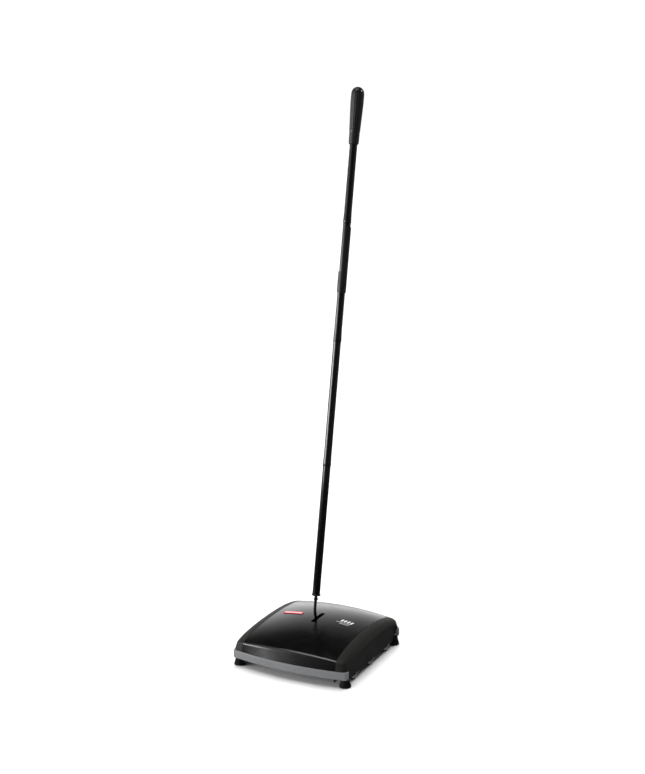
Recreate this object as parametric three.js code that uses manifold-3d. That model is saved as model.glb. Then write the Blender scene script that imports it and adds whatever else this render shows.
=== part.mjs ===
// Carpet sweeper: a low head on six wheels with two sweeping rolls, four corner brushes, two
// dust-pan doors, and a long sectional handle that tilts on a pivot inside the head.
// Millimetres, +Z up, the front of the head faces -Y. Everything is drawn about the head's centre
// on the floor, and the last lines move the origin to the bottom centre of the whole object.
import * as THREE from "three";
import { mergeVertices } from "three/addons/utils/BufferGeometryUtils.js";
import Module from "manifold-3d";

const wasm = await Module();
wasm.setup();

// ---- driving dimensions ----
const gap = 0.3; // air left between pieces that touch
const runGap = 0.25; // radial air of a shaft in its bearing

// head, plan
const halfWidth = 122; // outside of the side shoulders
const halfDepth = 139.5; // front face of the bumper at the middle
const frontBow = 11; // how far the bumper's ends lie behind its middle
const bumperOverhang = 3; // bumper's ends outside the shoulders
const bumperDepth = 6;
const bumperHeight = 16;
const bumperClearance = 17.5; // floor to the bumper
const cornerRadius = 7; // bumper's turned corner
const cornerRun = 5; // bumper's end, back along the side from its corner
const sillInset = 12; // chassis sill's end inside the bumper's end
const archInset = 16.5; // wheel opening's end behind the bumper's end
const bodyInset = 2.2; // cover behind the bumper's face
const shoulderWidth = 23.8; // shoulder, from the deck's crease outwards
const creaseFlare = 2.8; // the deck is this much wider at its ends
// head, height
const deckRise = 15.3; // crease at the middle, over the chassis plate
const creaseFall = 15.8; // crease at the fold, under the crease at the middle
const crownMiddle = 10.2; // deck's centre line over its crease, at the middle
const crownFold = 5;
const foldInset = 6.9; // fold behind the cover's foot, at the middle
const foldBow = 4.9;
const archHeadroom = 5.6; // wheel opening in the shoulder, over a wheel's top
const coverWall = 2.4;
const shoulderWall = 2.2;
// wheels, skirts and rolls
const wheelRadius = 24;
const wheelPitch = 74.4;
const wheelWidth = 12;
const tyreDepth = 3;
const axleRadius = 3;
const skirtWall = 2;
const skirtInset = 0.6; // skirt's widest line inside the shoulder
const skirtClearance = 10; // floor to the skirt
const skirtArch = 3.4; // extra lift of the skirt's edge over a wheel
const drumWidth = 10;
const coreRadius = 9;
const journalRadius = 4;
const tipClearance = 0.5; // floor to the tips of a roll
// chassis
const plateWall = 2.5;
const endWall = 2.5;
const railWall = 3;
const doorWall = 1.5;
const hingePinRadius = 1.4;
// corner brushes
const brushRadius = 12;
const brushOverhang = 5.7; // brush outside the shoulder
const brushInset = 14; // brush's front behind the bumper's middle
const pegRadius = 2;
// handle plate and badge
const plateHalfLength = 38;
const plateHalfWidth = 23;
const plateEndHalfWidth = 19.5;
const plateShift = 3;
const slotHalfLength = 26;
const slotHalfWidth = 4.1;
const badgeSize = [43, 11, 0.8];
const badgeCentre = [-59.5, 7.2];
// handle
const lean = THREE.MathUtils.degToRad(10.5);
const rodRadius = 2.9;
const rodBend = [-15, 41]; // where the rod turns into line with the tubes, from the pivot (y, z)
const rodToTube = 36; // bend to the foot of the lowest tube
const tubeLengths = [242, 234, 247, 257]; // visible run of each tube, top one first
const tubeRadius = 7.7;
const tubeWall = 0.9;
const socketWall = 0.6; // swaged foot of a tube
const socketLength = 28;
const gripLength = 112.4;
const gripCover = 88.4; // how far the grip covers the top tube
const gripRadius = 13.3;
const hangHoleRadius = 2.1;
const hangHoleSide = 6.8; // the hole passes beside the grip's centre line
const hangHoleTurn = THREE.MathUtils.degToRad(26.3); // the way that the grip is screwed on
const sleeveStart = 8; // below the foot of the top tube
const sleeveLength = 129;
const sleeveHalfCut = 88; // one side of the sleeve is cut away for this length
const sleeveWall = 1.1;
const eyeRadius = 6;
const pivotPinRadius = 2.5;

// ---- worked out from them ----
const axisZ = wheelRadius;
const rollRadius = wheelRadius - tipClearance;
const rollY = wheelPitch / 2;
const drumRadius = rollY - wheelRadius - gap;
const skirtX = halfWidth - skirtInset;
const wheelFaceX = skirtX - skirtWall - 1.4;
const wheelBackX = wheelFaceX - wheelWidth;
const wallOutX = wheelBackX - 7;
const wallInX = wallOutX - endWall;
const plateZ = axisZ + rollRadius + 2.5; // underside of the chassis plate
const plateTopZ = plateZ + plateWall;
const creaseZ = plateTopZ + deckRise;
const bumperTopZ = bumperClearance + bumperHeight;
const footZ = bumperTopZ + gap; // lower edge of the cover and shoulders
const archHalfLength = halfDepth - frontBow - archInset;
const archHeight = 2 * wheelRadius + archHeadroom - footZ;
const bumperX = halfWidth + bumperOverhang;
const arcX = bumperX - sillInset; // the bow is measured here
const deckHalf = halfWidth - shoulderWidth;
const brushX = halfWidth + brushOverhang - brushRadius;
const brushY = halfDepth - brushInset - brushRadius;
const pivotZ = plateTopZ + 1.5;

// ---- makers of solids ----
const steel = { color: 0x2b2b2d, roughness: 0.35, metalness: 0.8 };
const zinc = { color: 0xb9bcc0, roughness: 0.4, metalness: 0.9 };
const gloss = { color: 0x0d0d0e, roughness: 0.15, metalness: 0 };
const satin = { color: 0x262523, roughness: 0.55, metalness: 0 };
const darkPlastic = { color: 0x17171a, roughness: 0.5, metalness: 0 };
const grey = { color: 0x9b9c9e, roughness: 0.6, metalness: 0 };
const paleHub = { color: 0x6f7072, roughness: 0.5, metalness: 0 };
const red = { color: 0xc23a40, roughness: 0.4, metalness: 0 };
const rubber = { color: 0x111112, roughness: 0.8, metalness: 0 };
const bristle = { color: 0x0e0e0f, roughness: 0.9, metalness: 0 };
const sweeper = new THREE.Group();

function solid(geometry) {
  const bare = geometry.clone();
  bare.deleteAttribute("normal");
  bare.deleteAttribute("uv");
  const merged = mergeVertices(bare, 1e-4);
  return new wasm.Manifold(
    new wasm.Mesh({
      numProp: 3,
      vertProperties: new Float32Array(merged.attributes.position.array),
      triVerts: new Uint32Array(merged.index.array),
    }),
  );
}

function geometryOf(made) {
  const mesh = made.getMesh();
  const geometry = new THREE.BufferGeometry();
  geometry.setAttribute("position", new THREE.BufferAttribute(mesh.vertProperties, 3));
  geometry.setIndex(new THREE.BufferAttribute(mesh.triVerts, 1));
  geometry.computeVertexNormals();
  return geometry;
}

function addNode(name, made, finish, group = sweeper) {
  const geometry = made.isBufferGeometry ? made : geometryOf(made);
  const mesh = new THREE.Mesh(geometry, new THREE.MeshStandardMaterial(finish));
  mesh.name = name;
  group.add(mesh);
  return mesh;
}

function block(x0, x1, y0, y1, z0, z1) {
  const box = new THREE.BoxGeometry(x1 - x0, y1 - y0, z1 - z0);
  box.translate((x0 + x1) / 2, (y0 + y1) / 2, (z0 + z1) / 2);
  return solid(box);
}

// A round bar along X from x0 to x1.
function barX(radius, x0, x1, y, z, sides = 16) {
  const bar = new THREE.CylinderGeometry(radius, radius, x1 - x0, sides);
  bar.rotateZ(-Math.PI / 2);
  bar.translate((x0 + x1) / 2, y, z);
  return solid(bar);
}

function barZ(radius, z0, z1, x, y, sides = 16) {
  const bar = new THREE.CylinderGeometry(radius, radius, z1 - z0, sides);
  bar.rotateX(Math.PI / 2);
  bar.translate(x, y, (z0 + z1) / 2);
  return solid(bar);
}

// Turned about Z from [radius, z] points, listed so that the outside is on the right going up.
function turned(profile, sides) {
  return new THREE.LatheGeometry(
    profile.map(([r, z]) => new THREE.Vector2(r, z)),
    sides,
  ).rotateX(Math.PI / 2);
}

function prism(outline, z0, z1) {
  const shape = new THREE.Shape(outline.map(([x, y]) => new THREE.Vector2(x, y)));
  const body = new THREE.ExtrudeGeometry(shape, { depth: z1 - z0, bevelEnabled: false });
  body.translate(0, 0, z0);
  return solid(body);
}

// A closed shell: a grid of outer points, and the same grid moved in along the surface's normals.
// Rows times columns, in that order, has to point out. square(normal, i, j) may turn the wall of a
// border that has a neighbour beside it.
function shell(rows, wall, square = () => {}) {
  const high = rows.length;
  const wide = rows[0].length;
  const outer = rows.flat();
  const at = (i, j) =>
    rows[Math.min(Math.max(i, 0), high - 1)][Math.min(Math.max(j, 0), wide - 1)];
  const inner = [];
  for (let i = 0; i < high; i++) {
    for (let j = 0; j < wide; j++) {
      const along = at(i + 1, j).clone().sub(at(i - 1, j)).normalize();
      const across = at(i, j + 1).clone().sub(at(i, j - 1)).normalize();
      const normal = along.cross(across);
      square(normal, i, j);
      normal.normalize();
      inner.push(at(i, j).clone().addScaledVector(normal, -wall));
    }
  }
  const points = [...outer, ...inner];
  const faces = [];
  const quad = (a, b, c, d) => faces.push(a, b, c, a, c, d);
  const n = high * wide;
  const id = (i, j) => i * wide + j;
  for (let i = 0; i < high - 1; i++) {
    for (let j = 0; j < wide - 1; j++) {
      quad(id(i, j), id(i, j + 1), id(i + 1, j + 1), id(i + 1, j));
      quad(n + id(i, j), n + id(i + 1, j), n + id(i + 1, j + 1), n + id(i, j + 1));
    }
  }
  for (let j = 0; j < wide - 1; j++) {
    quad(id(0, j), n + id(0, j), n + id(0, j + 1), id(0, j + 1));
    quad(id(high - 1, j), id(high - 1, j + 1), n + id(high - 1, j + 1), n + id(high - 1, j));
  }
  for (let i = 0; i < high - 1; i++) {
    quad(id(i, 0), id(i + 1, 0), n + id(i + 1, 0), n + id(i, 0));
    quad(id(i, wide - 1), n + id(i, wide - 1), n + id(i + 1, wide - 1), id(i + 1, wide - 1));
  }
  const geometry = new THREE.BufferGeometry();
  geometry.setAttribute(
    "position",
    new THREE.Float32BufferAttribute(points.flatMap((p) => p.toArray()), 3),
  );
  geometry.setIndex(faces);
  const made = solid(geometry);
  if (made.volume() > 0) return made;
  for (let i = 0; i < faces.length; i += 3) {
    [faces[i + 1], faces[i + 2]] = [faces[i + 2], faces[i + 1]];
  }
  geometry.setIndex(faces);
  return solid(geometry);
}

const steps = (count, low, high) =>
  Array.from({ length: count + 1 }, (_, k) => low + ((high - low) * k) / count);
const mirrorX = (made) => made.mirror([1, 0, 0]);
const mirrorY = (made) => made.mirror([0, 1, 0]);
const blend = (a, b, t) => a + (b - a) * t;

// ---- the head's surfaces ----
// Everything is the same at the front and the back, so |y| runs from the middle to an end.
const bowAt = (x) => frontBow * (Math.min(Math.abs(x), arcX) / arcX) ** 2;
const footY = (x) => halfDepth - bodyInset - bowAt(x);
const foldHalf = halfDepth - bodyInset - foldInset; // |y| of the fold at the middle
const fall = (t) => creaseFall * (0.7 * t ** 2 + 0.3 * t ** 4);
const crown = (t) => crownMiddle - (crownMiddle - crownFold) * t ** 2;
const creaseHalf = (t) => deckHalf + creaseFlare * t ** 2;

// The deck at u = -1 ... 1 across and t = -1 ... 1 along, raised by lift.
function deckPoint(u, t, lift = 0) {
  const x = u * creaseHalf(t);
  const y = t * (foldHalf - foldBow * u * u);
  return new THREE.Vector3(x, y, creaseZ - fall(t) + crown(t) * (1 - u * u) + lift);
}

// Height of the deck over a place in plan.
const deckZ = (x, y) => {
  const t = y / foldHalf;
  const u = x / creaseHalf(t);
  return creaseZ - fall(t) + crown(t) * (1 - u * u);
};

// The foot of the cover under the fold.
function footPoint(u, side) {
  const x = u * (creaseHalf(1) + 0.8);
  return new THREE.Vector3(x, side * footY(x), footZ);
}

// Stations from the rear foot over the deck to the front foot.
const deckStations = [1, 0.93, 0.82, 0.68, 0.5, 0.26];
const stations = [
  { end: 1, foot: 1 },
  { end: 1, foot: 0.5 },
  ...deckStations.map((t) => ({ t })),
  { t: 0 },
  ...deckStations.toReversed().map((t) => ({ t: -t })),
  { end: -1, foot: 0.5 },
  { end: -1, foot: 1 },
];

function coverPoint(u, station) {
  if (station.end === undefined) return deckPoint(u, station.t);
  return deckPoint(u, station.end).lerp(footPoint(u, station.end), station.foot);
}

const archZ = (y) => {
  const share = Math.min(Math.abs(y) / archHalfLength, 1);
  return footZ + archHeight * (1 - share ** 2.5) ** 0.4;
};

// One shoulder section: a squarish quarter from the crease to the edge of the wheel opening.
const shoulderColumns = 6;
const footFlare = 1; // the shoulder's foot outside its side
function shoulderRow(station) {
  const start = coverPoint(1, station);
  start.x += gap;
  const low = station.foot ?? 0;
  const atEnd = (station.t ?? 1) ** 2; // 0 in the middle of the head, 1 at its ends
  const reach = station.end === undefined ? 0.93 * station.t : station.end * blend(0.93, 1, low);
  const edgeY = reach * archHalfLength;
  const edge = new THREE.Vector3(halfWidth + footFlare * low, edgeY, archZ(edgeY));
  const knee = new THREE.Vector3(
    halfWidth - blend(blend(3.5, 1.6, atEnd), -footFlare, low),
    blend(start.y, edge.y, blend(0.25, 0.1, Math.max(low, 0.6 * atEnd))),
    blend(start.z, edge.z, 0.18 * (1 - low)),
  );
  if (low === 1) edge.z = footZ;
  const power = blend(0.77, 0.56, atEnd); // under 1 squares the corner
  return steps(shoulderColumns, 0, Math.PI / 2).map((angle) => {
    const out = Math.sin(angle) ** power;
    const down = 1 - Math.max(0, Math.cos(angle)) ** power;
    return start
      .clone()
      .addScaledVector(knee.clone().sub(start), out)
      .addScaledVector(edge.clone().sub(knee), down);
  });
}

// ---- cover, handle plate, badge ----
function plateOutline(grow) {
  const right = [
    [plateEndHalfWidth - 5, -plateHalfLength],
    [plateEndHalfWidth - 1.2, -plateHalfLength + 1.6],
    [plateEndHalfWidth + 0.4, -plateHalfLength + 5.5],
    [plateHalfWidth - 1.2, -plateHalfLength * 0.42],
    [plateHalfWidth, plateHalfLength * 0.1],
    [plateHalfWidth - 0.4, plateHalfLength * 0.55],
    [plateHalfWidth - 1.6, plateHalfLength - 5],
    [plateHalfWidth - 3.2, plateHalfLength - 1.4],
    [plateHalfWidth - 6.5, plateHalfLength],
  ];
  const left = right.toReversed().map(([x, y]) => [-x, y]);
  return [...right, ...left].map(([x, y]) => [
    x + Math.sign(x) * grow,
    y + Math.sign(y) * grow + plateShift,
  ]);
}

function slotOutline() {
  const round = steps(6, 0, Math.PI);
  const reach = slotHalfLength - slotHalfWidth;
  return [
    ...round.map((a) => [slotHalfWidth * Math.cos(a), reach + slotHalfWidth * Math.sin(a)]),
    ...round.map((a) => [-slotHalfWidth * Math.cos(a), -reach - slotHalfWidth * Math.sin(a)]),
  ];
}

const screwY = foldHalf * 0.66;
const topHalf = screwY + 13.936; // half length of the chassis plate
const screwSpots = [-1, 1].flatMap((sx) =>
  [-1, 1].map((sy) => [sx * (deckHalf - 18), sy * screwY]),
);
const bossRadius = 4;
const screwRadius = 1.4;
const highZ = creaseZ + crownMiddle + 10;

const deckColumns = 10;
const coverRows = stations.map((s) => steps(deckColumns, -1, 1).map((u) => coverPoint(u, s)));
const atFoot = (i) => i === 0 || i === stations.length - 1;
const skin = shell(coverRows, coverWall, (normal, i, j) => {
  if (j === 0 || j === deckColumns) normal.x = 0;
  if (atFoot(i)) normal.z = 0;
});
let cover = skin.subtract(prism(plateOutline(gap + 0.1), plateTopZ, highZ));
for (const [x, y] of screwSpots) {
  const tall = barZ(bossRadius, plateTopZ + gap, deckZ(x, y) - coverWall + 0.8, x, y, 12);
  const pilot = barZ(screwRadius + runGap, plateTopZ, plateTopZ + 8.5, x, y, 10);
  cover = cover.add(tall).subtract(pilot);
}
addNode("top_cover", cover, gloss);
const plate = skin
  .intersect(prism(plateOutline(0), plateTopZ, highZ))
  .subtract(prism(slotOutline(), plateTopZ, highZ));
addNode("handle_plate", plate, gloss);

const badgeRows = steps(2, 0.5, -0.5).map((v) =>
  steps(6, -0.5, 0.5).map((u) => {
    const x = badgeCentre[0] + u * badgeSize[0];
    const y = badgeCentre[1] + v * badgeSize[1];
    return new THREE.Vector3(x, y, deckZ(x, y) + gap + badgeSize[2]);
  }),
);
addNode("badge", shell(badgeRows, badgeSize[2] - 0.1), red);

// ---- shoulders and skirts ----
const shoulder = shell(stations.map(shoulderRow), shoulderWall, (normal, i, j) => {
  if (j === 0) normal.x = 0;
  if (atFoot(i)) normal.z = 0;
  if (j === shoulderColumns) normal.set(1, 0, 0);
});
addNode("shoulder_right", shoulder, satin);
addNode("shoulder_left", mirrorX(shoulder), satin);

const skirtEnd = archHalfLength - 4.5;
const brushTopZ = bumperClearance - 0.7;
function skirtFoot(y) {
  const near = [-wheelPitch, 0, wheelPitch].map((c) => Math.abs(y - c));
  const closest = Math.min(...near);
  const lift = closest < 22 ? skirtArch * Math.cos((closest / 22) * (Math.PI / 2)) ** 2 : 0;
  const clear = Math.abs(y) > brushY - brushRadius - 3 ? brushTopZ + 2 - skirtClearance : 0;
  return skirtClearance + Math.max(lift, clear);
}
function skirtPoint(y, share) {
  const z = blend(skirtFoot(y), archZ(y) - 0.8, share);
  return new THREE.Vector3(skirtX - 1.8 * ((z - axisZ) / (1.25 * wheelRadius)) ** 2, y, z);
}
const skirtRows = steps(3, 1, 0).map((share) =>
  steps(28, -skirtEnd, skirtEnd).map((y) => skirtPoint(y, share)),
);
const skirt = shell(skirtRows, skirtWall);
addNode("side_skirt_right", skirt, darkPlastic);
addNode("side_skirt_left", mirrorX(skirt), darkPlastic);

// ---- bumpers ----
// The bumper's plan line at a depth behind its face, from the left end round to the right end.
function bumperLine(depth) {
  const turnX = bumperX - cornerRadius;
  const bow = (x) => frontBow * (x / arcX) ** 2;
  const straight = steps(10, -turnX, turnX).map((x) => [x, -(halfDepth - depth - bow(x))]);
  const centreY = -(halfDepth - bow(turnX) - cornerRadius);
  const corner = steps(3, 0, Math.PI / 2).slice(1).map((a) => [
    turnX + (cornerRadius - depth) * Math.sin(a),
    centreY - (cornerRadius - depth) * Math.cos(a),
  ]);
  corner.push([bumperX - depth, centreY + cornerRun]);
  return [...corner.toReversed().map(([x, y]) => [-x, y]), ...straight, ...corner];
}
const bumperSection = [
  [bumperDepth, 0],
  [1.2, 0],
  [0, 1.6],
  [0, bumperHeight - 1.6],
  [1.2, bumperHeight],
  [bumperDepth, bumperHeight],
];
function loft(section) {
  const lines = section.map(([depth, z]) => bumperLine(depth).map(([x, y]) => [x, y, z]));
  const points = lines.flat().flat();
  const count = lines[0].length;
  const faces = [];
  for (let s = 0; s < section.length; s++) {
    const next = (s + 1) % section.length;
    for (let k = 0; k < count - 1; k++) {
      const [a, b] = [s * count + k, s * count + k + 1];
      const [c, d] = [next * count + k + 1, next * count + k];
      faces.push(a, b, c, a, c, d);
    }
    if (s > 0 && s < section.length - 1) {
      faces.push(0, s * count, next * count);
      faces.push(count - 1, next * count + count - 1, s * count + count - 1);
    }
  }
  const geometry = new THREE.BufferGeometry();
  geometry.setAttribute("position", new THREE.Float32BufferAttribute(points, 3));
  geometry.setIndex(faces);
  return geometry;
}
const bumper = solid(loft(bumperSection)).translate([0, 0, bumperClearance]);
addNode("front_bumper", bumper, grey);
addNode("rear_bumper", mirrorY(bumper), grey);

// ---- chassis ----
const railOut = (x) => halfDepth - bumperDepth - gap - bowAt(x);
const doorOuterY = railOut(arcX) - railWall - 1.2; // |y| of the door's outer edge
const doorInnerY = rollY + rollRadius + 5.1;
const damY = rollY + rollRadius + 2.3;
const hingeY = doorOuterY - 3;
const doorZ = skirtClearance + 1;
const hingeZ = doorZ + 2;
const wallTopZ = footZ + 8; // end walls under the drooping ends of the cover
const cornerZ = bumperClearance + 1.5;

function chassisEnd() {
  const across = steps(8, -arcX + 1, arcX - 1);
  const line = across.map((x) => [x, -railOut(x)]);
  const rail = prism([...line, ...line.toReversed().map(([x, y]) => [x, y + railWall])],
    bumperClearance, bumperTopZ - 2);
  const sill = prism([...line, [arcX - 1, -doorOuterY - 0.4], [-arcX + 1, -doorOuterY - 0.4]],
    bumperClearance, bumperClearance + 2);
  let end = rail.add(sill);
  for (const side of [-1, 1]) {
    const [near, far] = [side * (wallInX + 0.5), side * (brushX + 3)];
    const [x0, x1] = [Math.min(near, far), Math.max(near, far)];
    const tabY = -(brushY + 2.5);
    end = end.add(block(x0, x1, tabY, -wheelPitch - wheelRadius - 2, cornerZ, cornerZ + 3));
    const [r0, r1] = [Math.min(near, side * (arcX - 1)), Math.max(near, side * (arcX - 1))];
    end = end.add(block(r0, r1, -railOut(arcX) + 1.5, tabY + 1, cornerZ, cornerZ + 3));
    end = end.add(barZ(pegRadius, brushTopZ - 4.5, cornerZ + 1, side * brushX, -brushY, 12));
  }
  return end.add(block(-wallInX - 1, wallInX + 1, -damY, -damY + 2, doorZ + 3, axisZ + 10));
}

function chassisWall() {
  let wall = block(wallInX, wallOutX, -topHalf, topHalf, skirtClearance - 1, plateTopZ);
  const reach = railOut(wallOutX) - 1;
  wall = wall.add(block(wallInX, wallOutX, -reach, reach, skirtClearance - 1, wallTopZ));
  for (const y of [-wheelPitch, 0, wheelPitch]) {
    wall = wall.subtract(barX(axleRadius + runGap, wallInX - 1, wallOutX + 1, y, axisZ, 12));
  }
  for (const y of [-rollY, rollY]) {
    wall = wall.subtract(barX(journalRadius + runGap, wallInX - 1, wallOutX + 1, y, axisZ));
  }
  for (const y of [-hingeY, hingeY]) {
    wall = wall.subtract(barX(hingePinRadius + runGap, wallInX - 1, wallOutX + 1, y, hingeZ, 10));
  }
  return wall;
}

const cheekX = 7.8; // inner face of the pivot bracket's cheeks
const cheekWall = 1.5;
const bracketHalf = 10; // half length of the bracket along Y
const pinHead = 1.3;
const pinEnd = cheekX + cheekWall + gap;
const wellHalf = pinEnd + pinHead + 0.6; // half width of the opening that the bracket stands in
let chassis = block(-wallOutX, wallOutX, -topHalf, topHalf, plateZ, plateTopZ);
chassis = chassis.add(block(-wallInX - 1, wallInX + 1, -1.25, 1.25, axisZ + 8, plateZ + 1));
chassis = chassis.subtract(
  block(-wellHalf, wellHalf, -bracketHalf - 1, bracketHalf + 1, plateZ - 10, plateTopZ + 1),
);
chassis = chassis.add(chassisWall()).add(mirrorX(chassisWall()));
chassis = chassis.add(chassisEnd()).add(mirrorY(chassisEnd()));
for (const [x, y] of screwSpots) {
  chassis = chassis.subtract(barZ(screwRadius + 0.4, plateZ - 1, plateTopZ + 1, x, y, 10));
}
for (const [sx, sy] of [[-1, -1], [-1, 1], [1, -1], [1, 1]]) {
  const sweep = barZ(brushRadius + gap, 0, brushTopZ - 6.3, sx * brushX, sy * brushY, 24);
  chassis = chassis.subtract(sweep);
}
addNode("chassis", chassis, darkPlastic);

screwSpots.forEach(([x, y], k) => {
  const head = [[0, -3], [2.4, -3], [3.2, -2.2], [3.2, -gap], [screwRadius, -gap]];
  const shank = [[screwRadius, plateWall + 6], [0, plateWall + 7]];
  const screw = turned([...head, ...shank], 10);
  addNode("cover_screw_" + (k + 1), screw.translate(x, y, plateZ), zinc);
});

// ---- dust-pan doors, their pins and springs ----
const doorHalf = wallInX - 1.5;
const springHalf = 7; // half of the gap in the door's hinge barrel
function door() {
  const sheet = block(-doorHalf, doorHalf, -doorOuterY, -doorInnerY, doorZ, doorZ + doorWall);
  const lip = block(-doorHalf, doorHalf, -doorInnerY - doorWall, -doorInnerY, doorZ, doorZ + 6);
  let made = sheet.add(lip).add(barX(2.8, -doorHalf, doorHalf, -hingeY, hingeZ, 12));
  for (const side of [-1, 1]) {
    const [x0, x1] = side < 0 ? [-doorHalf, -doorHalf + doorWall] : [doorHalf - doorWall, doorHalf];
    made = made.add(block(x0, x1, -hingeY, -doorInnerY, doorZ, doorZ + 6));
  }
  made = made.subtract(barX(hingePinRadius + runGap, -wallOutX, wallOutX, -hingeY, hingeZ, 10));
  const window = [-hingeY - 5, -hingeY + 5, doorZ - 1, hingeZ + 5];
  return made.subtract(block(-springHalf, springHalf, ...window));
}

class Coil extends THREE.Curve {
  constructor(radius, length, turns) {
    super();
    Object.assign(this, { radius, length, turns });
  }
  getPoint(t) {
    const angle = t * this.turns * 2 * Math.PI;
    const x = (t - 0.5) * this.length;
    return new THREE.Vector3(x, this.radius * Math.cos(angle), this.radius * Math.sin(angle));
  }
}

function ring(radius, sides) {
  const turn = steps(sides, 0, 2 * Math.PI).slice(0, sides);
  return new THREE.Shape(
    turn.map((a) => new THREE.Vector2(radius * Math.cos(a), radius * Math.sin(a))),
  );
}

function spring() {
  const turns = 4;
  const path = new Coil(2.5, 2 * springHalf - 3, turns);
  return new THREE.ExtrudeGeometry(ring(0.5, 5), { steps: turns * 8, extrudePath: path });
}

const hingePin = barX(hingePinRadius, -wallOutX - 1, wallOutX + 1, -hingeY, hingeZ, 10);
for (const [name, flip] of [["front", (made) => made], ["rear", mirrorY]]) {
  addNode(name + "_pan_door", flip(door()), darkPlastic);
  addNode(name + "_door_pin", flip(hingePin), zinc);
  const coil = solid(spring()).translate([0, -hingeY, hingeZ]);
  addNode(name + "_door_spring", flip(coil), zinc);
}

// ---- wheels ----
const rimRadius = wheelRadius - tyreDepth;
const tyreSides = 20;
const seatRadius = rimRadius * Math.cos(Math.PI / tyreSides) - 0.04; // hub inside the tyre's flats
const boreRadius = axleRadius + runGap;
const hubProfile = [
  [boreRadius, 0.8], [8, 0.8], [8, 3.5], [rimRadius - 4, 3.5], [rimRadius - 3.5, 0.3],
  [seatRadius, 0.3], [seatRadius, wheelWidth - 0.3],
  [rimRadius - 4.6, wheelWidth - 0.3], [rimRadius - 5.6, wheelWidth - 2],
  [7, wheelWidth - 2.4], [boreRadius, wheelWidth - 2.4], [boreRadius, 0.8],
];
const tyreProfile = [
  [rimRadius, 0], [wheelRadius - 0.8, 0], [wheelRadius, 1.2], [wheelRadius, wheelWidth - 2],
  [wheelRadius - 1.2, wheelWidth - 0.6], [rimRadius, wheelWidth], [rimRadius, 0],
];
const axleProfile = [
  [0, -12.5], [4.5, -12.5], [4.5, -9.8], [axleRadius, -9.8],
  [axleRadius, wheelWidth - 2.1], [5.2, wheelWidth - 2.1], [4.6, wheelWidth - 0.7],
  [0, wheelWidth - 0.5],
];
const places = { front: -wheelPitch, middle: 0, rear: wheelPitch };
for (const side of [-1, 1]) {
  const hand = side < 0 ? "left" : "right";
  for (const [place, y] of Object.entries(places)) {
    const wheel = new THREE.Group();
    wheel.position.set(side * wheelBackX, y, axisZ);
    wheel.rotation.y = (side * Math.PI) / 2;
    sweeper.add(wheel);
    const title = place + "_" + hand;
    addNode("wheel_hub_" + title, turned(hubProfile, 14), paleHub, wheel);
    addNode("wheel_tyre_" + title, turned(tyreProfile, tyreSides), rubber, wheel);
    addNode("wheel_axle_" + title, turned(axleProfile, 8), zinc, wheel);
  }
}

// ---- rolls ----
const drumStart = wheelBackX - 0.8;
const drumEnd = drumStart + drumWidth;
const coreEnd = wallInX - 1;
const coreProfile = [
  [0, -drumEnd], [drumRadius - 0.6, -drumEnd], [drumRadius, -drumEnd + 0.6],
  [drumRadius, -drumStart], [journalRadius, -drumStart], [journalRadius, -coreEnd],
  [coreRadius, -coreEnd],
];
const wholeCore = [...coreProfile, ...coreProfile.toReversed().map(([r, z]) => [r, -z])];
const core = turned(wholeCore, 14).rotateY(Math.PI / 2);

// Vanes on a sleeve round the core: twisted rows of bristle, or straight rubber blades.
function vanes(count, thick, twist, layers) {
  const sleeveOuter = coreRadius + 1.6;
  const outline = [];
  const inTurn = Math.asin(thick / 2 / sleeveOuter);
  const outTurn = Math.asin(thick / 2 / rollRadius);
  for (let k = 0; k < count; k++) {
    const mid = (k / count) * 2 * Math.PI;
    const next = ((k + 1) / count) * 2 * Math.PI;
    outline.push([sleeveOuter, mid - inTurn], [rollRadius, mid - outTurn]);
    outline.push([rollRadius, mid + outTurn], [sleeveOuter, mid + inTurn]);
    outline.push([sleeveOuter, (mid + next) / 2]);
  }
  const shape = new THREE.Shape(
    outline.map(([r, a]) => new THREE.Vector2(r * Math.cos(a), r * Math.sin(a))),
  );
  shape.holes.push(ring(coreRadius + 2 * gap, 12));
  const long = 2 * coreEnd - 2;
  const body = new THREE.ExtrudeGeometry(shape, { depth: long, steps: layers, bevelEnabled: false });
  body.translate(0, 0, -long / 2);
  const spot = body.attributes.position;
  for (let k = 0; k < spot.count; k++) {
    const turn = (spot.getZ(k) / long) * twist;
    const [x, y] = [spot.getX(k), spot.getY(k)];
    spot.setX(k, x * Math.cos(turn) - y * Math.sin(turn));
    spot.setY(k, x * Math.sin(turn) + y * Math.cos(turn));
  }
  return body.rotateY(Math.PI / 2);
}

const rolls = [
  ["front_roll", "bristles", -rollY, vanes(6, 4.2, Math.PI / 2, 8), bristle],
  ["rear_roll", "blades", rollY, vanes(5, 2.4, Math.PI / 5, 4), rubber],
];
for (const [name, dress, y, body, finish] of rolls) {
  const roll = new THREE.Group();
  roll.position.set(0, y, axisZ);
  sweeper.add(roll);
  addNode(name + "_core", core.clone(), darkPlastic, roll);
  addNode(name + "_" + dress, body, finish, roll);
}

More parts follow.
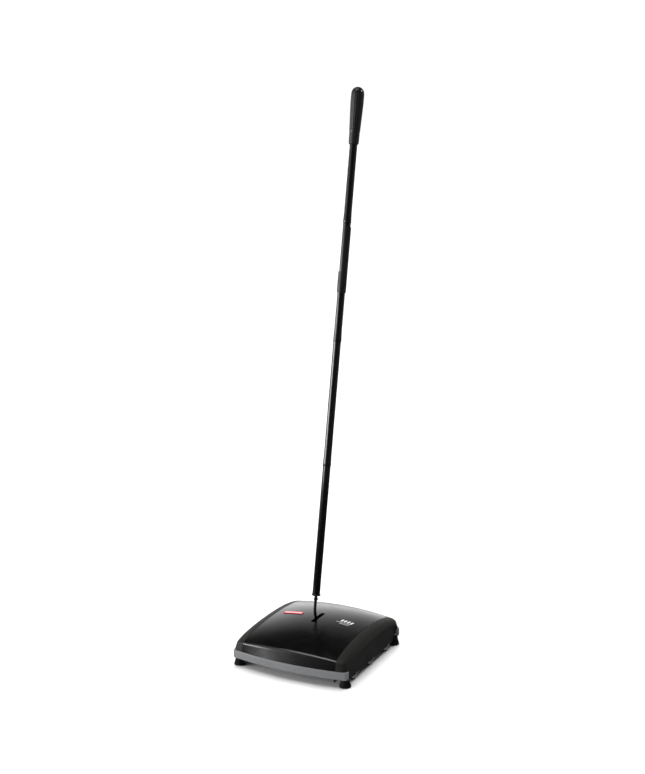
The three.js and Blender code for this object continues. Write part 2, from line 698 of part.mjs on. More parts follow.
// ---- corner brushes ----
const hubBottom = brushTopZ - 6.3;
const hubShape = turned([
  [0, hubBottom], [8, hubBottom], [8.6, brushTopZ], [pegRadius + runGap, brushTopZ],
  [pegRadius + runGap, brushTopZ - 4.8], [0, brushTopZ - 4.8],
], 16);
const tufts = 12;
function tuftBlock() {
  const outline = steps(tufts * 2, 0, 2 * Math.PI)
    .slice(0, tufts * 2)
    .map((a, k) => {
      const r = k % 2 ? brushRadius - 1.8 : brushRadius;
      return [r * Math.cos(a), r * Math.sin(a)];
    });
  return prism(outline, 0, hubBottom - gap);
}
const ends = { front: -brushY, rear: brushY };
for (const side of [-1, 1]) {
  for (const [end, y] of Object.entries(ends)) {
    const brush = new THREE.Group();
    brush.position.set(side * brushX, y, 0);
    sweeper.add(brush);
    const title = end + "_" + (side < 0 ? "left" : "right");
    addNode("corner_brush_hub_" + title, hubShape.clone(), darkPlastic, brush);
    addNode("corner_brush_tufts_" + title, geometryOf(tuftBlock()), bristle, brush);
  }
}

// ---- pivot bracket and pin ----
let bracket = block(-cheekX - cheekWall, cheekX + cheekWall, -bracketHalf, bracketHalf,
  pivotZ - 9.2, pivotZ - 7.7);
for (const side of [-1, 1]) {
  const [a, b] = [side * cheekX, side * (cheekX + cheekWall)];
  const [x0, x1] = [Math.min(a, b), Math.max(a, b)];
  bracket = bracket.add(block(x0, x1, -bracketHalf, bracketHalf, pivotZ - 9, pivotZ + 6));
  for (const end of [-1, 1]) {
    const [y0, y1] = end < 0 ? [-bracketHalf, -4.8] : [4.8, bracketHalf];
    const [f0, f1] = side < 0 ? [-20, -cheekX - 0.5] : [cheekX + 0.5, 20];
    bracket = bracket.add(block(f0, f1, y0, y1, plateTopZ + gap, plateTopZ + gap + cheekWall));
  }
}
bracket = bracket.subtract(barX(pivotPinRadius + runGap, -12, 12, 0, pivotZ));
addNode("pivot_bracket", bracket, zinc);
const pinProfile = [
  [0, -pinEnd - pinHead], [4, -pinEnd - pinHead], [4, -pinEnd], [pivotPinRadius, -pinEnd],
  [pivotPinRadius, pinEnd], [4, pinEnd], [4, pinEnd + pinHead], [0, pinEnd + pinHead],
];
addNode("pivot_pin", turned(pinProfile, 12).rotateY(Math.PI / 2).translate(0, 0, pivotZ), zinc);

// ---- handle ----
// The handle's own frame has its origin at the rod's bend and runs along +Z.
const handle = new THREE.Group();
handle.position.set(0, rodBend[0], pivotZ + rodBend[1]);
handle.rotation.x = -lean;
sweeper.add(handle);
const pivotInHandle = new THREE.Vector3(0, -rodBend[0], -rodBend[1]).applyAxisAngle(
  new THREE.Vector3(1, 0, 0),
  lean,
);
const tubeFeet = [rodToTube + tubeLengths[3]];
tubeFeet.unshift(rodToTube);
for (const k of [2, 1]) tubeFeet.push(tubeFeet.at(-1) + tubeLengths[k]);
const topOfTubes = tubeFeet.at(-1) + tubeLengths[0]; // top end of the uppermost tube

const towards = pivotInHandle.clone().multiplyScalar(-1).normalize();
const rodLine = new THREE.CurvePath();
const turnStart = towards.clone().multiplyScalar(-7);
const turnEnd = new THREE.Vector3(0, 0, 7);
rodLine.add(new THREE.LineCurve3(pivotInHandle, turnStart));
rodLine.add(new THREE.QuadraticBezierCurve3(turnStart, new THREE.Vector3(), turnEnd));
rodLine.add(new THREE.LineCurve3(turnEnd, new THREE.Vector3(0, 0, rodToTube + 24)));
const rodShape = { steps: 11, extrudePath: rodLine };
let rod = solid(new THREE.ExtrudeGeometry(ring(rodRadius, 8), rodShape));
const knuckle = turned([
  [0, rodToTube - 13], [3.4, rodToTube - 13], [4.3, rodToTube - 11.4],
  [4.3, rodToTube - 8.8], [3.4, rodToTube - 7.2], [0, rodToTube - 7.2],
], 10);
rod = rod.add(solid(knuckle));
const eyeAt = [pivotInHandle.y, pivotInHandle.z];
rod = rod.add(barX(eyeRadius, -cheekX + 0.4, cheekX - 0.4, ...eyeAt));
rod = rod.subtract(barX(pivotPinRadius + runGap, -cheekX, cheekX, ...eyeAt));
addNode("handle_rod", rod, steel, handle);

const boreInTube = tubeRadius - tubeWall;
const plugLip = tubeRadius + 1.2;
const plug = turned([
  [rodRadius + runGap, rodToTube - 3.3], [plugLip - 0.7, rodToTube - 3.3],
  [plugLip, rodToTube - 2.4], [plugLip, rodToTube - gap], [boreInTube - gap, rodToTube - gap],
  [boreInTube - gap, rodToTube + 20], [rodRadius + runGap, rodToTube + 20],
  [rodRadius + runGap, rodToTube - 3.3],
], 16);
addNode("end_plug", plug, darkPlastic, handle);

const socketBore = tubeRadius + gap;
const socketRadius = socketBore + socketWall;
const sleeveRadius = socketBore + sleeveWall;
["tube_bottom", "tube_lower", "tube_upper", "tube_top"].forEach((name, k) => {
  const foot = tubeFeet[k];
  const top = k === 3 ? topOfTubes : tubeFeet[k + 1] + socketLength - 2;
  const shoulderAt = foot + socketLength;
  const swaged = k > 0;
  const outside = swaged
    ? [[socketBore, foot], [socketRadius, foot], [socketRadius, shoulderAt], [tubeRadius, shoulderAt + 2]]
    : [[boreInTube, foot], [tubeRadius, foot]];
  const inside = swaged ? [[boreInTube, shoulderAt + 1], [socketBore, shoulderAt], [socketBore, foot]]
    : [[boreInTube, foot]];
  const profile = [...outside, [tubeRadius, top], [boreInTube, top], ...inside];
  addNode(name, turned(profile, 12), steel, handle);
});

const sleeveTop = tubeFeet[3] - sleeveStart;
const sleeveFoot = sleeveTop - sleeveLength;
const sleeveRing = turned([
  [socketBore, sleeveFoot], [sleeveRadius, sleeveFoot], [sleeveRadius, sleeveTop],
  [socketBore, sleeveTop], [socketBore, sleeveFoot],
], 16);
const sleeve = solid(sleeveRing).subtract(
  block(-20, 0, -20, 20, sleeveTop - sleeveHalfCut, sleeveTop + 1),
);
addNode("tube_sleeve", sleeve, darkPlastic, handle);

const gripFoot = topOfTubes - gripCover;
const gripTop = gripFoot + gripLength;
const gripProfile = [
  [socketBore, gripFoot], [socketBore + 1.2, gripFoot], [socketBore + 2.2, gripFoot + 4],
  [socketBore + 2.4, gripTop - 88], [socketBore + 3.2, gripTop - 86], [gripRadius - 1.2, gripTop - 60],
  [gripRadius, gripTop - 25],
  [gripRadius - 0.2, gripTop - 14], [gripRadius - 1, gripTop - 8], [10, gripTop - 3.5],
  [6, gripTop - 1], [0, gripTop],
];
const gripBore = [[0, topOfTubes + gap], [socketBore, topOfTubes + gap], [socketBore, gripFoot]];
const gripSides = 20;
const gripBody = turned([...gripProfile, ...gripBore.slice(0, 2), [socketBore, gripFoot]], gripSides);
const spots = gripBody.attributes.position;
for (let k = 0; k < spots.count; k++) {
  const [x, y, z] = [spots.getX(k), spots.getY(k), spots.getZ(k)];
  const around = Math.round((Math.atan2(y, x) / (2 * Math.PI)) * gripSides);
  const fluted = z > gripTop - 87 && z < gripTop - 10 && Math.hypot(x, y) > 10.8;
  if (!fluted || around % 2 === 0) continue;
  const shrink = 1 - 0.7 / Math.hypot(x, y);
  spots.setXY(k, x * shrink, y * shrink);
}
const hangHole = new THREE.CylinderGeometry(hangHoleRadius, hangHoleRadius, 40, 12)
  .translate(hangHoleSide, 0, gripTop - 7.6)
  .rotateZ(hangHoleTurn);
addNode("grip", solid(gripBody).subtract(solid(hangHole)), darkPlastic, handle);

// ---- origin at the bottom centre of the whole object ----
sweeper.updateMatrixWorld(true);
const extent = new THREE.Box3().setFromObject(sweeper, true);
const middle = extent.getCenter(new THREE.Vector3());
sweeper.position.set(-middle.x, -middle.y, -extent.min.z);

export default sweeper;
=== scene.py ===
import math
import random

import bmesh
import bpy
from mathutils import Matrix, Vector


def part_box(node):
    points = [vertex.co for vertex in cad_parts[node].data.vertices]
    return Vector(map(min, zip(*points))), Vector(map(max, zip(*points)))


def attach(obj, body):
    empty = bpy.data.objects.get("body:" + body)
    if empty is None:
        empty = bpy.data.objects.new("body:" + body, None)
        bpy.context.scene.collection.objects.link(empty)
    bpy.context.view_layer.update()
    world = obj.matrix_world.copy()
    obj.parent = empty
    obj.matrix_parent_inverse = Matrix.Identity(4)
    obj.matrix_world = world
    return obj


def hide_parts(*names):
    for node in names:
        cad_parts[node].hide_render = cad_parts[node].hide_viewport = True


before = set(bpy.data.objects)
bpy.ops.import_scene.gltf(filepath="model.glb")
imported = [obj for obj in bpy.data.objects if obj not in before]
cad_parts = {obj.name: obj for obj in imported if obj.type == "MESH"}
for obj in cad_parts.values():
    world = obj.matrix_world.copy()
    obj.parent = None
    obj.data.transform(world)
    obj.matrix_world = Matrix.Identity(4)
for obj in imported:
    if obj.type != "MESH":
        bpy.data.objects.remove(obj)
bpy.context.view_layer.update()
print("frame loaded")

mm = 0.001
random.seed(7)

# The head is drawn in millimetres about its own centre on the floor, and the handle about the rod's bend.
chassisLow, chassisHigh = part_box("chassis")
headCentre = Vector((0, (chassisLow.y + chassisHigh.y) / 2, 0))
headPlace = Matrix.Translation(headCentre) @ Matrix.Scale(mm, 4)
fullTurn = 2 * math.pi


# small helpers
def blend(a, b, share):
    return a + (b - a) * share


def srgb(code):
    # sRGB hex to the linear values that the shaders take
    parts = [int(code[k:k + 2], 16) / 255 for k in (1, 3, 5)]
    linear = [p / 12.92 if p <= 0.04045 else ((p + 0.055) / 1.055) ** 2.4 for p in parts]
    return (*linear, 1.0)


def addNode(tree, kind, inputs=None, **settings):
    made = tree.nodes.new(kind)
    for key, value in settings.items():
        setattr(made, key, value)
    for socket, value in (inputs or {}).items():
        if isinstance(value, bpy.types.NodeSocket):
            tree.links.new(value, made.inputs[socket])
        else:
            made.inputs[socket].default_value = value
    return made


def startMaterial(name, **surface):
    material = bpy.data.materials.new(name)
    material.use_nodes = True
    tree = material.node_tree
    shader = tree.nodes["Principled BSDF"]
    for socket, value in surface.items():
        shader.inputs[socket.replace("_", " ")].default_value = value
    place = addNode(tree, "ShaderNodeTexCoord").outputs["Object"]
    return material, tree, shader, place


def sheetMesh(columns, rows, place):
    # a grid whose corners (-1 ... 1, -1 ... 1) are put on a surface by place(u, v)
    bm = bmesh.new()
    bmesh.ops.create_grid(bm, x_segments=columns, y_segments=rows, size=1.0)
    for v in bm.verts:
        v.co = place(v.co.x, v.co.y)
    return bm


def turnedMesh(profile, steps=64, closed=False):
    # [radius, z] points spun about Z; a closed profile is a ring or a tube
    bm = bmesh.new()
    verts = [bm.verts.new((r, 0, z)) for r, z in profile]
    edges = [bm.edges.new(pair) for pair in zip(verts, verts[1:])]
    if closed:
        edges.append(bm.edges.new((verts[-1], verts[0])))
    bmesh.ops.spin(bm, geom=verts + edges, cent=(0, 0, 0), axis=(0, 0, 1),
                   angle=fullTurn, steps=steps, use_merge=True)
    bmesh.ops.remove_doubles(bm, verts=bm.verts, dist=1e-4)
    bmesh.ops.recalc_face_normals(bm, faces=bm.faces)
    return bm


def addBlock(bm, low, high):
    low, high = Vector(low), Vector(high)
    size = Matrix.Diagonal((*(high - low), 1))
    bmesh.ops.create_cube(bm, size=1, matrix=Matrix.Translation((low + high) / 2) @ size)


def pipeMesh(points, radius, sides=4, cyclic=False):
    curve = bpy.data.curves.new("pipePath", "CURVE")
    curve.dimensions = "3D"
    curve.bevel_depth = radius
    curve.bevel_resolution = sides
    curve.use_fill_caps = True
    spline = curve.splines.new("POLY")
    spline.points.add(len(points) - 1)
    for spot, point in zip(spline.points, points):
        spot.co = (*point, 1)
    spline.use_cyclic_u = cyclic
    holder = bpy.data.objects.new("pipePath", curve)
    bpy.context.scene.collection.objects.link(holder)
    bm = bmesh.new()
    bm.from_mesh(holder.evaluated_get(bpy.context.evaluated_depsgraph_get()).to_mesh())
    bpy.data.objects.remove(holder)
    bpy.data.curves.remove(curve)
    bmesh.ops.remove_doubles(bm, verts=bm.verts, dist=1e-4)
    bmesh.ops.recalc_face_normals(bm, faces=bm.faces)
    return bm


def faceOut(bm, inside):
    # an open sheet's faces are turned to point away from a place inside
    lean = sum(f.normal.dot(f.calc_center_median() - Vector(inside)) * f.calc_area() for f in bm.faces)
    if lean < 0:
        bmesh.ops.reverse_faces(bm, faces=bm.faces)


def joinMeshes(bm, *others):
    for other in others:
        mesh = bpy.data.meshes.new("part")
        other.to_mesh(mesh)
        other.free()
        bm.from_mesh(mesh)
        bpy.data.meshes.remove(mesh)
    return bm


def makePiece(name, bm, body, material, stands, place=headPlace,
              wall=0, bevel=0, sharp=38, bevelSegments=2):
    bmesh.ops.transform(bm, matrix=place, verts=bm.verts)
    if place.determinant() < 0:
        bmesh.ops.reverse_faces(bm, faces=bm.faces)
    mesh = bpy.data.meshes.new(name)
    bm.to_mesh(mesh)
    bm.free()
    mesh.shade_smooth()
    mesh.set_sharp_from_angle(angle=math.radians(sharp))
    mesh.materials.append(material)
    piece = bpy.data.objects.new(name, mesh)
    bpy.context.scene.collection.objects.link(piece)
    if wall:
        solidify = piece.modifiers.new("wall", "SOLIDIFY")
        solidify.thickness = wall * mm
        solidify.offset = -1
        solidify.use_even_offset = True
    if bevel:
        edge = piece.modifiers.new("edges", "BEVEL")
        edge.width = bevel * mm
        edge.segments = bevelSegments
        edge.limit_method = "ANGLE"
        edge.angle_limit = math.radians(sharp)
        edge.harden_normals = True
    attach(piece, body)
    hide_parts(*stands)
    return piece


def carve(piece, cutter):
    # cuts a scratch mesh, in the row frame, out of a finished piece
    mesh = bpy.data.meshes.new("cutter")
    cutter.to_mesh(mesh)
    cutter.free()
    tool = bpy.data.objects.new("cutter", mesh)
    bpy.context.scene.collection.objects.link(tool)
    cut = piece.modifiers.new("cut", "BOOLEAN")
    cut.operation = "DIFFERENCE"
    cut.solver = "EXACT"
    cut.object = tool
    piece.modifiers.move(len(piece.modifiers) - 1, 0)
    others = [m for m in piece.modifiers if m != cut]
    for modifier in others:
        modifier.show_viewport = False
    bpy.context.view_layer.update()
    shown = piece.evaluated_get(bpy.context.evaluated_depsgraph_get())
    made = bpy.data.meshes.new_from_object(shown)
    piece.modifiers.remove(cut)
    piece.data = made
    made.set_sharp_from_angle(angle=math.radians(38))
    for modifier in others:
        modifier.show_viewport = True
    bpy.data.objects.remove(tool)


# materials
def glossAbs():
    # ABS from a polished mould: near-black and shiny, with a faint ripple and a film of dust
    material, tree, shader, place = startMaterial("glossBlackAbs", IOR=1.53)
    dust = addNode(tree, "ShaderNodeTexNoise",
                   {"Vector": place, "Scale": 38, "Detail": 6, "Roughness": 0.7})
    tint = addNode(tree, "ShaderNodeValToRGB", {"Fac": dust.outputs["Fac"]})
    tint.color_ramp.elements[0].position = 0.35
    tint.color_ramp.elements[0].color = srgb("#050506")
    tint.color_ramp.elements[1].position = 0.75
    tint.color_ramp.elements[1].color = srgb("#0b0b0c")
    tree.links.new(tint.outputs["Color"], shader.inputs["Base Color"])
    smear = addNode(tree, "ShaderNodeTexNoise",
                    {"Vector": place, "Scale": 22, "Detail": 4, "Distortion": 1.2})
    gloss = addNode(tree, "ShaderNodeMapRange",
                    {"Value": smear.outputs["Fac"], "From Min": 0.3, "From Max": 0.7, "To Min": 0.17,
                     "To Max": 0.25})
    tree.links.new(gloss.outputs["Result"], shader.inputs["Roughness"])
    ripple = addNode(tree, "ShaderNodeTexNoise", {"Vector": place, "Scale": 420, "Detail": 2})
    bump = addNode(tree, "ShaderNodeBump",
                   {"Height": ripple.outputs["Fac"], "Strength": 0.03, "Distance": 0.0004})
    tree.links.new(bump.outputs["Normal"], shader.inputs["Normal"])
    return material


def grainedPlastic(name, base, pale, rough, grainMm, depth, shine=0.5):
    # ABS or polypropylene from an etched mould: a fine pebbled grain that kills the gloss
    material, tree, shader, place = startMaterial(name, IOR=1.5, Specular_IOR_Level=shine)
    grain = addNode(tree, "ShaderNodeTexVoronoi", {"Vector": place, "Scale": 1000 / grainMm})
    cloud = addNode(tree, "ShaderNodeTexNoise",
                    {"Vector": place, "Scale": 30, "Detail": 5, "Roughness": 0.6})
    tint = addNode(tree, "ShaderNodeMix",
                   {"Factor": cloud.outputs["Fac"], 6: srgb(base), 7: srgb(pale)}, data_type="RGBA")
    tree.links.new(tint.outputs[2], shader.inputs["Base Color"])
    gloss = addNode(tree, "ShaderNodeMapRange",
                    {"Value": cloud.outputs["Fac"], "From Min": 0.3, "From Max": 0.7,
                     "To Min": rough - 0.06, "To Max": rough + 0.07})
    tree.links.new(gloss.outputs["Result"], shader.inputs["Roughness"])
    bump = addNode(tree, "ShaderNodeBump",
                   {"Height": grain.outputs["Distance"], "Strength": depth, "Distance": 0.0003})
    tree.links.new(bump.outputs["Normal"], shader.inputs["Normal"])
    return material


def zincSteel():
    # zinc-plated steel: bright, faintly blue, with drawn lines and dull patches
    material, tree, shader, place = startMaterial("zincPlatedSteel", Metallic=1.0)
    stretched = addNode(tree, "ShaderNodeMapping", {"Vector": place, "Scale": (60, 900, 900)})
    lines = addNode(tree, "ShaderNodeTexNoise",
                    {"Vector": stretched.outputs["Vector"], "Scale": 1, "Detail": 3})
    patches = addNode(tree, "ShaderNodeTexNoise", {"Vector": place, "Scale": 160, "Detail": 4})
    tint = addNode(tree, "ShaderNodeMix",
                   {"Factor": patches.outputs["Fac"], 6: srgb("#9aa0a6"),
                    7: srgb("#c9ccd0")}, data_type="RGBA")
    tree.links.new(tint.outputs[2], shader.inputs["Base Color"])
    gloss = addNode(tree, "ShaderNodeMapRange",
                    {"Value": lines.outputs["Fac"], "From Min": 0.3, "From Max": 0.7, "To Min": 0.26,
                     "To Max": 0.44})
    tree.links.new(gloss.outputs["Result"], shader.inputs["Roughness"])
    bump = addNode(tree, "ShaderNodeBump", {"Height": lines.outputs["Fac"], "Strength": 0.12,
                                            "Distance": 0.0001})
    tree.links.new(bump.outputs["Normal"], shader.inputs["Normal"])
    return material


def blackEnamel():
    # stoved enamel on drawn steel tube: deep black, a slight orange peel, fine lengthwise rubs
    material, tree, shader, place = startMaterial("blackStoveEnamel", IOR=1.52)
    peel = addNode(tree, "ShaderNodeTexNoise", {"Vector": place, "Scale": 700, "Detail": 2})
    stretched = addNode(tree, "ShaderNodeMapping", {"Vector": place, "Scale": (1400, 1400, 14)})
    rubs = addNode(tree, "ShaderNodeTexNoise",
                   {"Vector": stretched.outputs["Vector"], "Scale": 1, "Detail": 4})
    tint = addNode(tree, "ShaderNodeValToRGB", {"Fac": rubs.outputs["Fac"]})
    tint.color_ramp.elements[0].position = 0.55
    tint.color_ramp.elements[0].color = srgb("#070708")
    tint.color_ramp.elements[1].position = 0.8
    tint.color_ramp.elements[1].color = srgb("#171719")
    tree.links.new(tint.outputs["Color"], shader.inputs["Base Color"])
    gloss = addNode(tree, "ShaderNodeMapRange",
                    {"Value": rubs.outputs["Fac"], "From Min": 0.4, "From Max": 0.8, "To Min": 0.2,
                     "To Max": 0.32})
    tree.links.new(gloss.outputs["Result"], shader.inputs["Roughness"])
    bump = addNode(tree, "ShaderNodeBump", {"Height": peel.outputs["Fac"], "Strength": 0.06,
                                            "Distance": 0.0002})
    tree.links.new(bump.outputs["Normal"], shader.inputs["Normal"])
    return material


def printedInk(name, base, pale):
    # pad-printed ink or a printed foil: flat colour, slightly uneven, satin
    material, tree, shader, place = startMaterial(name, Roughness=0.42)
    speck = addNode(tree, "ShaderNodeTexNoise", {"Vector": place, "Scale": 500, "Detail": 3})
    tint = addNode(tree, "ShaderNodeMix",
                   {"Factor": speck.outputs["Fac"], 6: srgb(base), 7: srgb(pale)}, data_type="RGBA")
    tree.links.new(tint.outputs[2], shader.inputs["Base Color"])
    bump = addNode(tree, "ShaderNodeBump", {"Height": speck.outputs["Fac"], "Strength": 0.08,
                                            "Distance": 0.0001})
    tree.links.new(bump.outputs["Normal"], shader.inputs["Normal"])
    return material


glossBlack = glossAbs()
charcoalGrain = grainedPlastic("charcoalGrainedAbs", "#171714", "#1f1e1b", 0.56, 0.9, 0.22, shine=0.3)
skirtGrain = grainedPlastic("charcoalSkirtPlastic", "#0c0c0e", "#121214", 0.55, 0.8, 0.18)
bumperRubber = grainedPlastic("greyBumperRubber", "#68696b", "#757678", 0.62, 1.1, 0.16)
mouldedBlack = grainedPlastic("mouldedBlackPolypropylene", "#101012", "#1a1a1c", 0.5, 1.4, 0.16)
fittingBlack = grainedPlastic("satinBlackNylon", "#0c0c0d", "#151517", 0.42, 1.0, 0.12)
gripBlack = grainedPlastic("satinBlackGripVinyl", "#101011", "#19191b", 0.4, 0.9, 0.16)
wheelGrey = grainedPlastic("greyWheelPlastic", "#7b7c7e", "#8f9092", 0.4, 1.2, 0.12)
wheelDark = grainedPlastic("darkWheelPlastic", "#161618", "#222224", 0.45, 1.2, 0.12)
tyreBlack = grainedPlastic("blackTyreRubber", "#0f0f10", "#1b1b1d", 0.7, 0.7, 0.4)
bristleBlack = grainedPlastic("blackNylonBristle", "#09090a", "#161617", 0.42, 2.5, 0.1)
bladeBlack = grainedPlastic("blackBladeRubber", "#121213", "#1c1c1e", 0.62, 0.8, 0.3)
zinc = zincSteel()
enamel = blackEnamel()
badgeRed = printedInk("redBadgePrint", "#c4323f", "#d24a55")
badgePale = printedInk("palePrintedStripe", "#f3cfd0", "#fbe2e2")
inkWhite = printedInk("whitePadPrint", "#e4e5e6", "#f2f2f2")
inkGrey = printedInk("greyPadPrint", "#9b9da0", "#b0b2b4")
print("materials made")

# the head's outside surfaces
head = {
    "halfWidth": 122, "halfDepth": 139.5, "frontBow": 11, "bumperOverhang": 3, "bumperDepth": 6,
    "bumperHeight": 16, "bumperClearance": 17.5, "cornerRadius": 7, "cornerRun": 5, "bodyInset": 2.2,
    "sillInset": 12, "archInset": 16.5, "footFlare": 1,
    "shoulderWidth": 23.8, "creaseFlare": 2.8, "creaseZ": 67.8, "creaseFall": 15.8,
    "crownMiddle": 10.2, "crownFold": 5, "foldInset": 6.9, "foldBow": 4.9, "archHeight": 19.8,
    "wheelPitch": 74.4, "wheelRadius": 24, "gap": 0.3,
    "foldSoftness": 0.036,  # half length of the rounded fold, as a share of the deck's half
    "apronReach": 0.18,     # the apron under the fold, in the same share
}
footZ = head["bumperClearance"] + head["bumperHeight"] + head["gap"]
arcX = head["halfWidth"] + head["bumperOverhang"] - head["sillInset"]
deckHalf = head["halfWidth"] - head["shoulderWidth"]
foldHalf = head["halfDepth"] - head["bodyInset"] - head["foldInset"]
archHalf = head["halfDepth"] - head["frontBow"] - head["archInset"]
wholeReach = 1 + head["apronReach"]


def bowAt(x):
    return head["frontBow"] * (min(abs(x), arcX) / arcX) ** 2


def creaseHalf(t):
    return deckHalf + head["creaseFlare"] * t * t


def deckHeight(u, t):
    fall = head["creaseFall"] * (0.7 * t ** 2 + 0.3 * t ** 4)
    crown = head["crownMiddle"] - (head["crownMiddle"] - head["crownFold"]) * t ** 2
    return head["creaseZ"] - fall + crown * (1 - u * u)


def deckPoint(u, t):
    return Vector((u * creaseHalf(t), t * (foldHalf - head["foldBow"] * u * u), deckHeight(u, t)))


def deckOver(x, y, lift=0):
    # the deck's point over a place in plan
    u, t = x / deckHalf, y / foldHalf
    for _ in range(4):
        t = y / (foldHalf - head["foldBow"] * u * u)
        u = x / creaseHalf(t)
    return Vector((x, y, deckHeight(u, t) + lift))


def footPoint(u, side):
    x = u * (creaseHalf(1) + 0.8)
    return Vector((x, side * (head["halfDepth"] - head["bodyInset"] - bowAt(x)), footZ))


def coverPoint(u, s):
    # s is -1 ... 1 over the deck and goes on to the feet of the two aprons
    side = 1 if s > 0 else -1
    t = abs(s)
    soft = head["foldSoftness"]
    if t <= 1 - soft:
        return deckPoint(u, s)
    fold = deckPoint(u, side)
    foot = footPoint(u, side)
    if t >= 1 + soft:
        return fold.lerp(foot, (t - 1) / head["apronReach"])
    w = (t - 1 + soft) / (2 * soft)
    before = deckPoint(u, side * (1 - soft))
    after = fold.lerp(foot, soft / head["apronReach"])
    return before * (1 - w) ** 2 + fold * 2 * w * (1 - w) + after * w * w


def archZ(y):
    share = min(abs(y) / archHalf, 1)
    return footZ + head["archHeight"] * (1 - share ** 2.5) ** 0.4


def shoulderPoint(w, s):
    # w is 0 at the deck's crease and 1 at the edge of the wheel opening
    low = max(0, (abs(s) - 1) / head["apronReach"])
    side = 1 if s > 0 else -1
    start = coverPoint(1, s) + Vector((head["gap"], 0, 0))
    atEnd = min(abs(s), 1) ** 2
    reach = 0.93 * s if low == 0 else side * blend(0.93, 1, low)
    flare = head["footFlare"]
    edge = Vector((head["halfWidth"] + flare * low, reach * archHalf, archZ(reach * archHalf)))
    knee = Vector((
        head["halfWidth"] - blend(blend(3.5, 1.6, atEnd), -flare, low),
        blend(start.y, edge.y, blend(0.25, 0.1, max(low, 0.6 * atEnd))),
        blend(start.z, edge.z, 0.18 * (1 - low)),
    ))
    angle = w * math.pi / 2
    power = blend(0.77, 0.56, atEnd)  # under 1 squares the corner
    out = math.sin(angle) ** power
    down = 1 - max(0, math.cos(angle)) ** power
    return start + (knee - start) * out + (edge - knee) * down


# outlines cut through the deck
def softened(outline, rounds=2):
    # cuts the corners of an outline until it reads as a curve
    for _ in range(rounds):
        pairs = list(zip(outline, outline[1:] + outline[:1]))
        outline = [a.lerp(b, share) for a, b in pairs for share in (0.25, 0.75)]
    return outline


def insideOutline(point, outline):
    signs = [(b - a).cross(Vector((point.x, point.y)) - a) > 0 for a,
             b in zip(outline, outline[1:] + outline[:1])]
    return all(signs) or not any(signs)


def cutOutline(bm, outline, removeInside):
    # splits the sheet along each side of a convex outline, drops one part, and puts new points on the deck
    for a, b in zip(outline, outline[1:] + outline[:1]):
        middle = (a + b) / 2
        reach = (b - a).length / 2 + 4
        near = [f for f in bm.faces if (f.calc_center_median().xy - middle).length < reach]
        parts = set(near) | {e for f in near for e in f.edges} | {v for f in near for v in f.verts}
        bmesh.ops.bisect_plane(bm, geom=list(parts), plane_co=(a.x, a.y, 0), dist=1e-4,
                               plane_no=(b.y - a.y, a.x - b.x, 0))
    doomed = [f for f in bm.faces if insideOutline(f.calc_center_median(), outline) == removeInside]
    bmesh.ops.delete(bm, geom=doomed, context="FACES")
    for v in bm.verts:
        if abs(v.co.y) < 60:
            v.co = deckOver(v.co.x, v.co.y)


plate = {
    "halfLength": 38, "halfWidth": 23, "endHalfWidth": 19.5, "shift": 3,
    "groove": 2.2,  # dark gap all round, between the plate and the cover
    "slotHalfLength": 26, "slotHalfWidth": 4.1,
}


def plateOutline(grow):
    long, wide, end = plate["halfLength"], plate["halfWidth"], plate["endHalfWidth"]
    right = [
        (end - 5, -long), (end - 1.2, -long + 1.6), (end + 0.4, -long + 5.5), (wide - 1.2, -long * 0.42),
        (wide, long * 0.1), (wide - 0.4, long * 0.55), (wide - 1.6, long - 5), (wide - 3.2, long - 1.4),
        (wide - 6.5, long),
    ]
    whole = right + [(-x, y) for x, y in reversed(right)]
    grown = [Vector((x + math.copysign(grow, x), y + math.copysign(grow, y) + plate["shift"])) for x,
             y in whole]
    return softened(grown)


def slotOutline():
    r = plate["slotHalfWidth"]
    reach = plate["slotHalfLength"] - r
    turns = [math.pi * k / 10 for k in range(11)]
    top = [Vector((r * math.cos(a), reach + r * math.sin(a))) for a in turns]
    return top + [Vector((-v.x, -v.y)) for v in top]


def makeCover():
    bm = sheetMesh(84, 224, lambda u, v: coverPoint(u, v * wholeReach))
    cutOutline(bm, plateOutline(plate["groove"] / 2), True)
    makePiece("coverShell", bm, "head", glossBlack, ["top_cover"], wall=2.4, bevel=0.5)


def makePlate():
    long = plate["halfLength"] + 2
    bm = sheetMesh(24, 40, lambda u, v: deckOver(u * 26, v * long + plate["shift"]))
    cutOutline(bm, plateOutline(-plate["groove"] / 2), False)
    cutOutline(bm, slotOutline(), True)
    makePiece("handlePlate", bm, "head", glossBlack, ["handle_plate"], wall=2.4,
              bevel=0.5)


def makeShoulders():
    for side, hand in ((1, "Right"), (-1, "Left")):
        bm = sheetMesh(24, 224, lambda u, v: shoulderPoint((u + 1) / 2, v * wholeReach))
        faceOut(bm, (60, 0, 20))
        place = headPlace @ Matrix.Diagonal((side, 1, 1, 1))
        makePiece("shoulder" + hand, bm, "head", charcoalGrain,
                  ["shoulder_" + hand.lower()], place=place, wall=2.2, bevel=0.5)


makeCover()
makePlate()
makeShoulders()
print("cover, plate and shoulders made")

# badge and printed marks
badge = {"centre": (-59.5, 7.2), "size": (43, 11), "thick": 0.8, "stripe": (37, 3.4)}
marks = {"middle": (57.5, 12.0), "barLength": 10.5, "barWidth": 3.6, "bars": 4, "pitch": 7.0,
         "lineLengths": (30, 20), "lineWidth": 2.0, "linePitch": 5.0, "turn": 3}


def deckTile(centre, size, lift, turn=0, slant=0):
    # a small flat tile bent onto the deck
    cosine, sine = math.cos(math.radians(turn)), math.sin(math.radians(turn))

    def place(u, v):
        x, y = u * size[0] / 2 + slant * v, v * size[1] / 2
        return deckOver(centre[0] + x * cosine - y * sine, centre[1] + x * sine + y * cosine, lift)

    return sheetMesh(max(3, int(size[0] / 2)), max(2, int(size[1] / 2)), place)


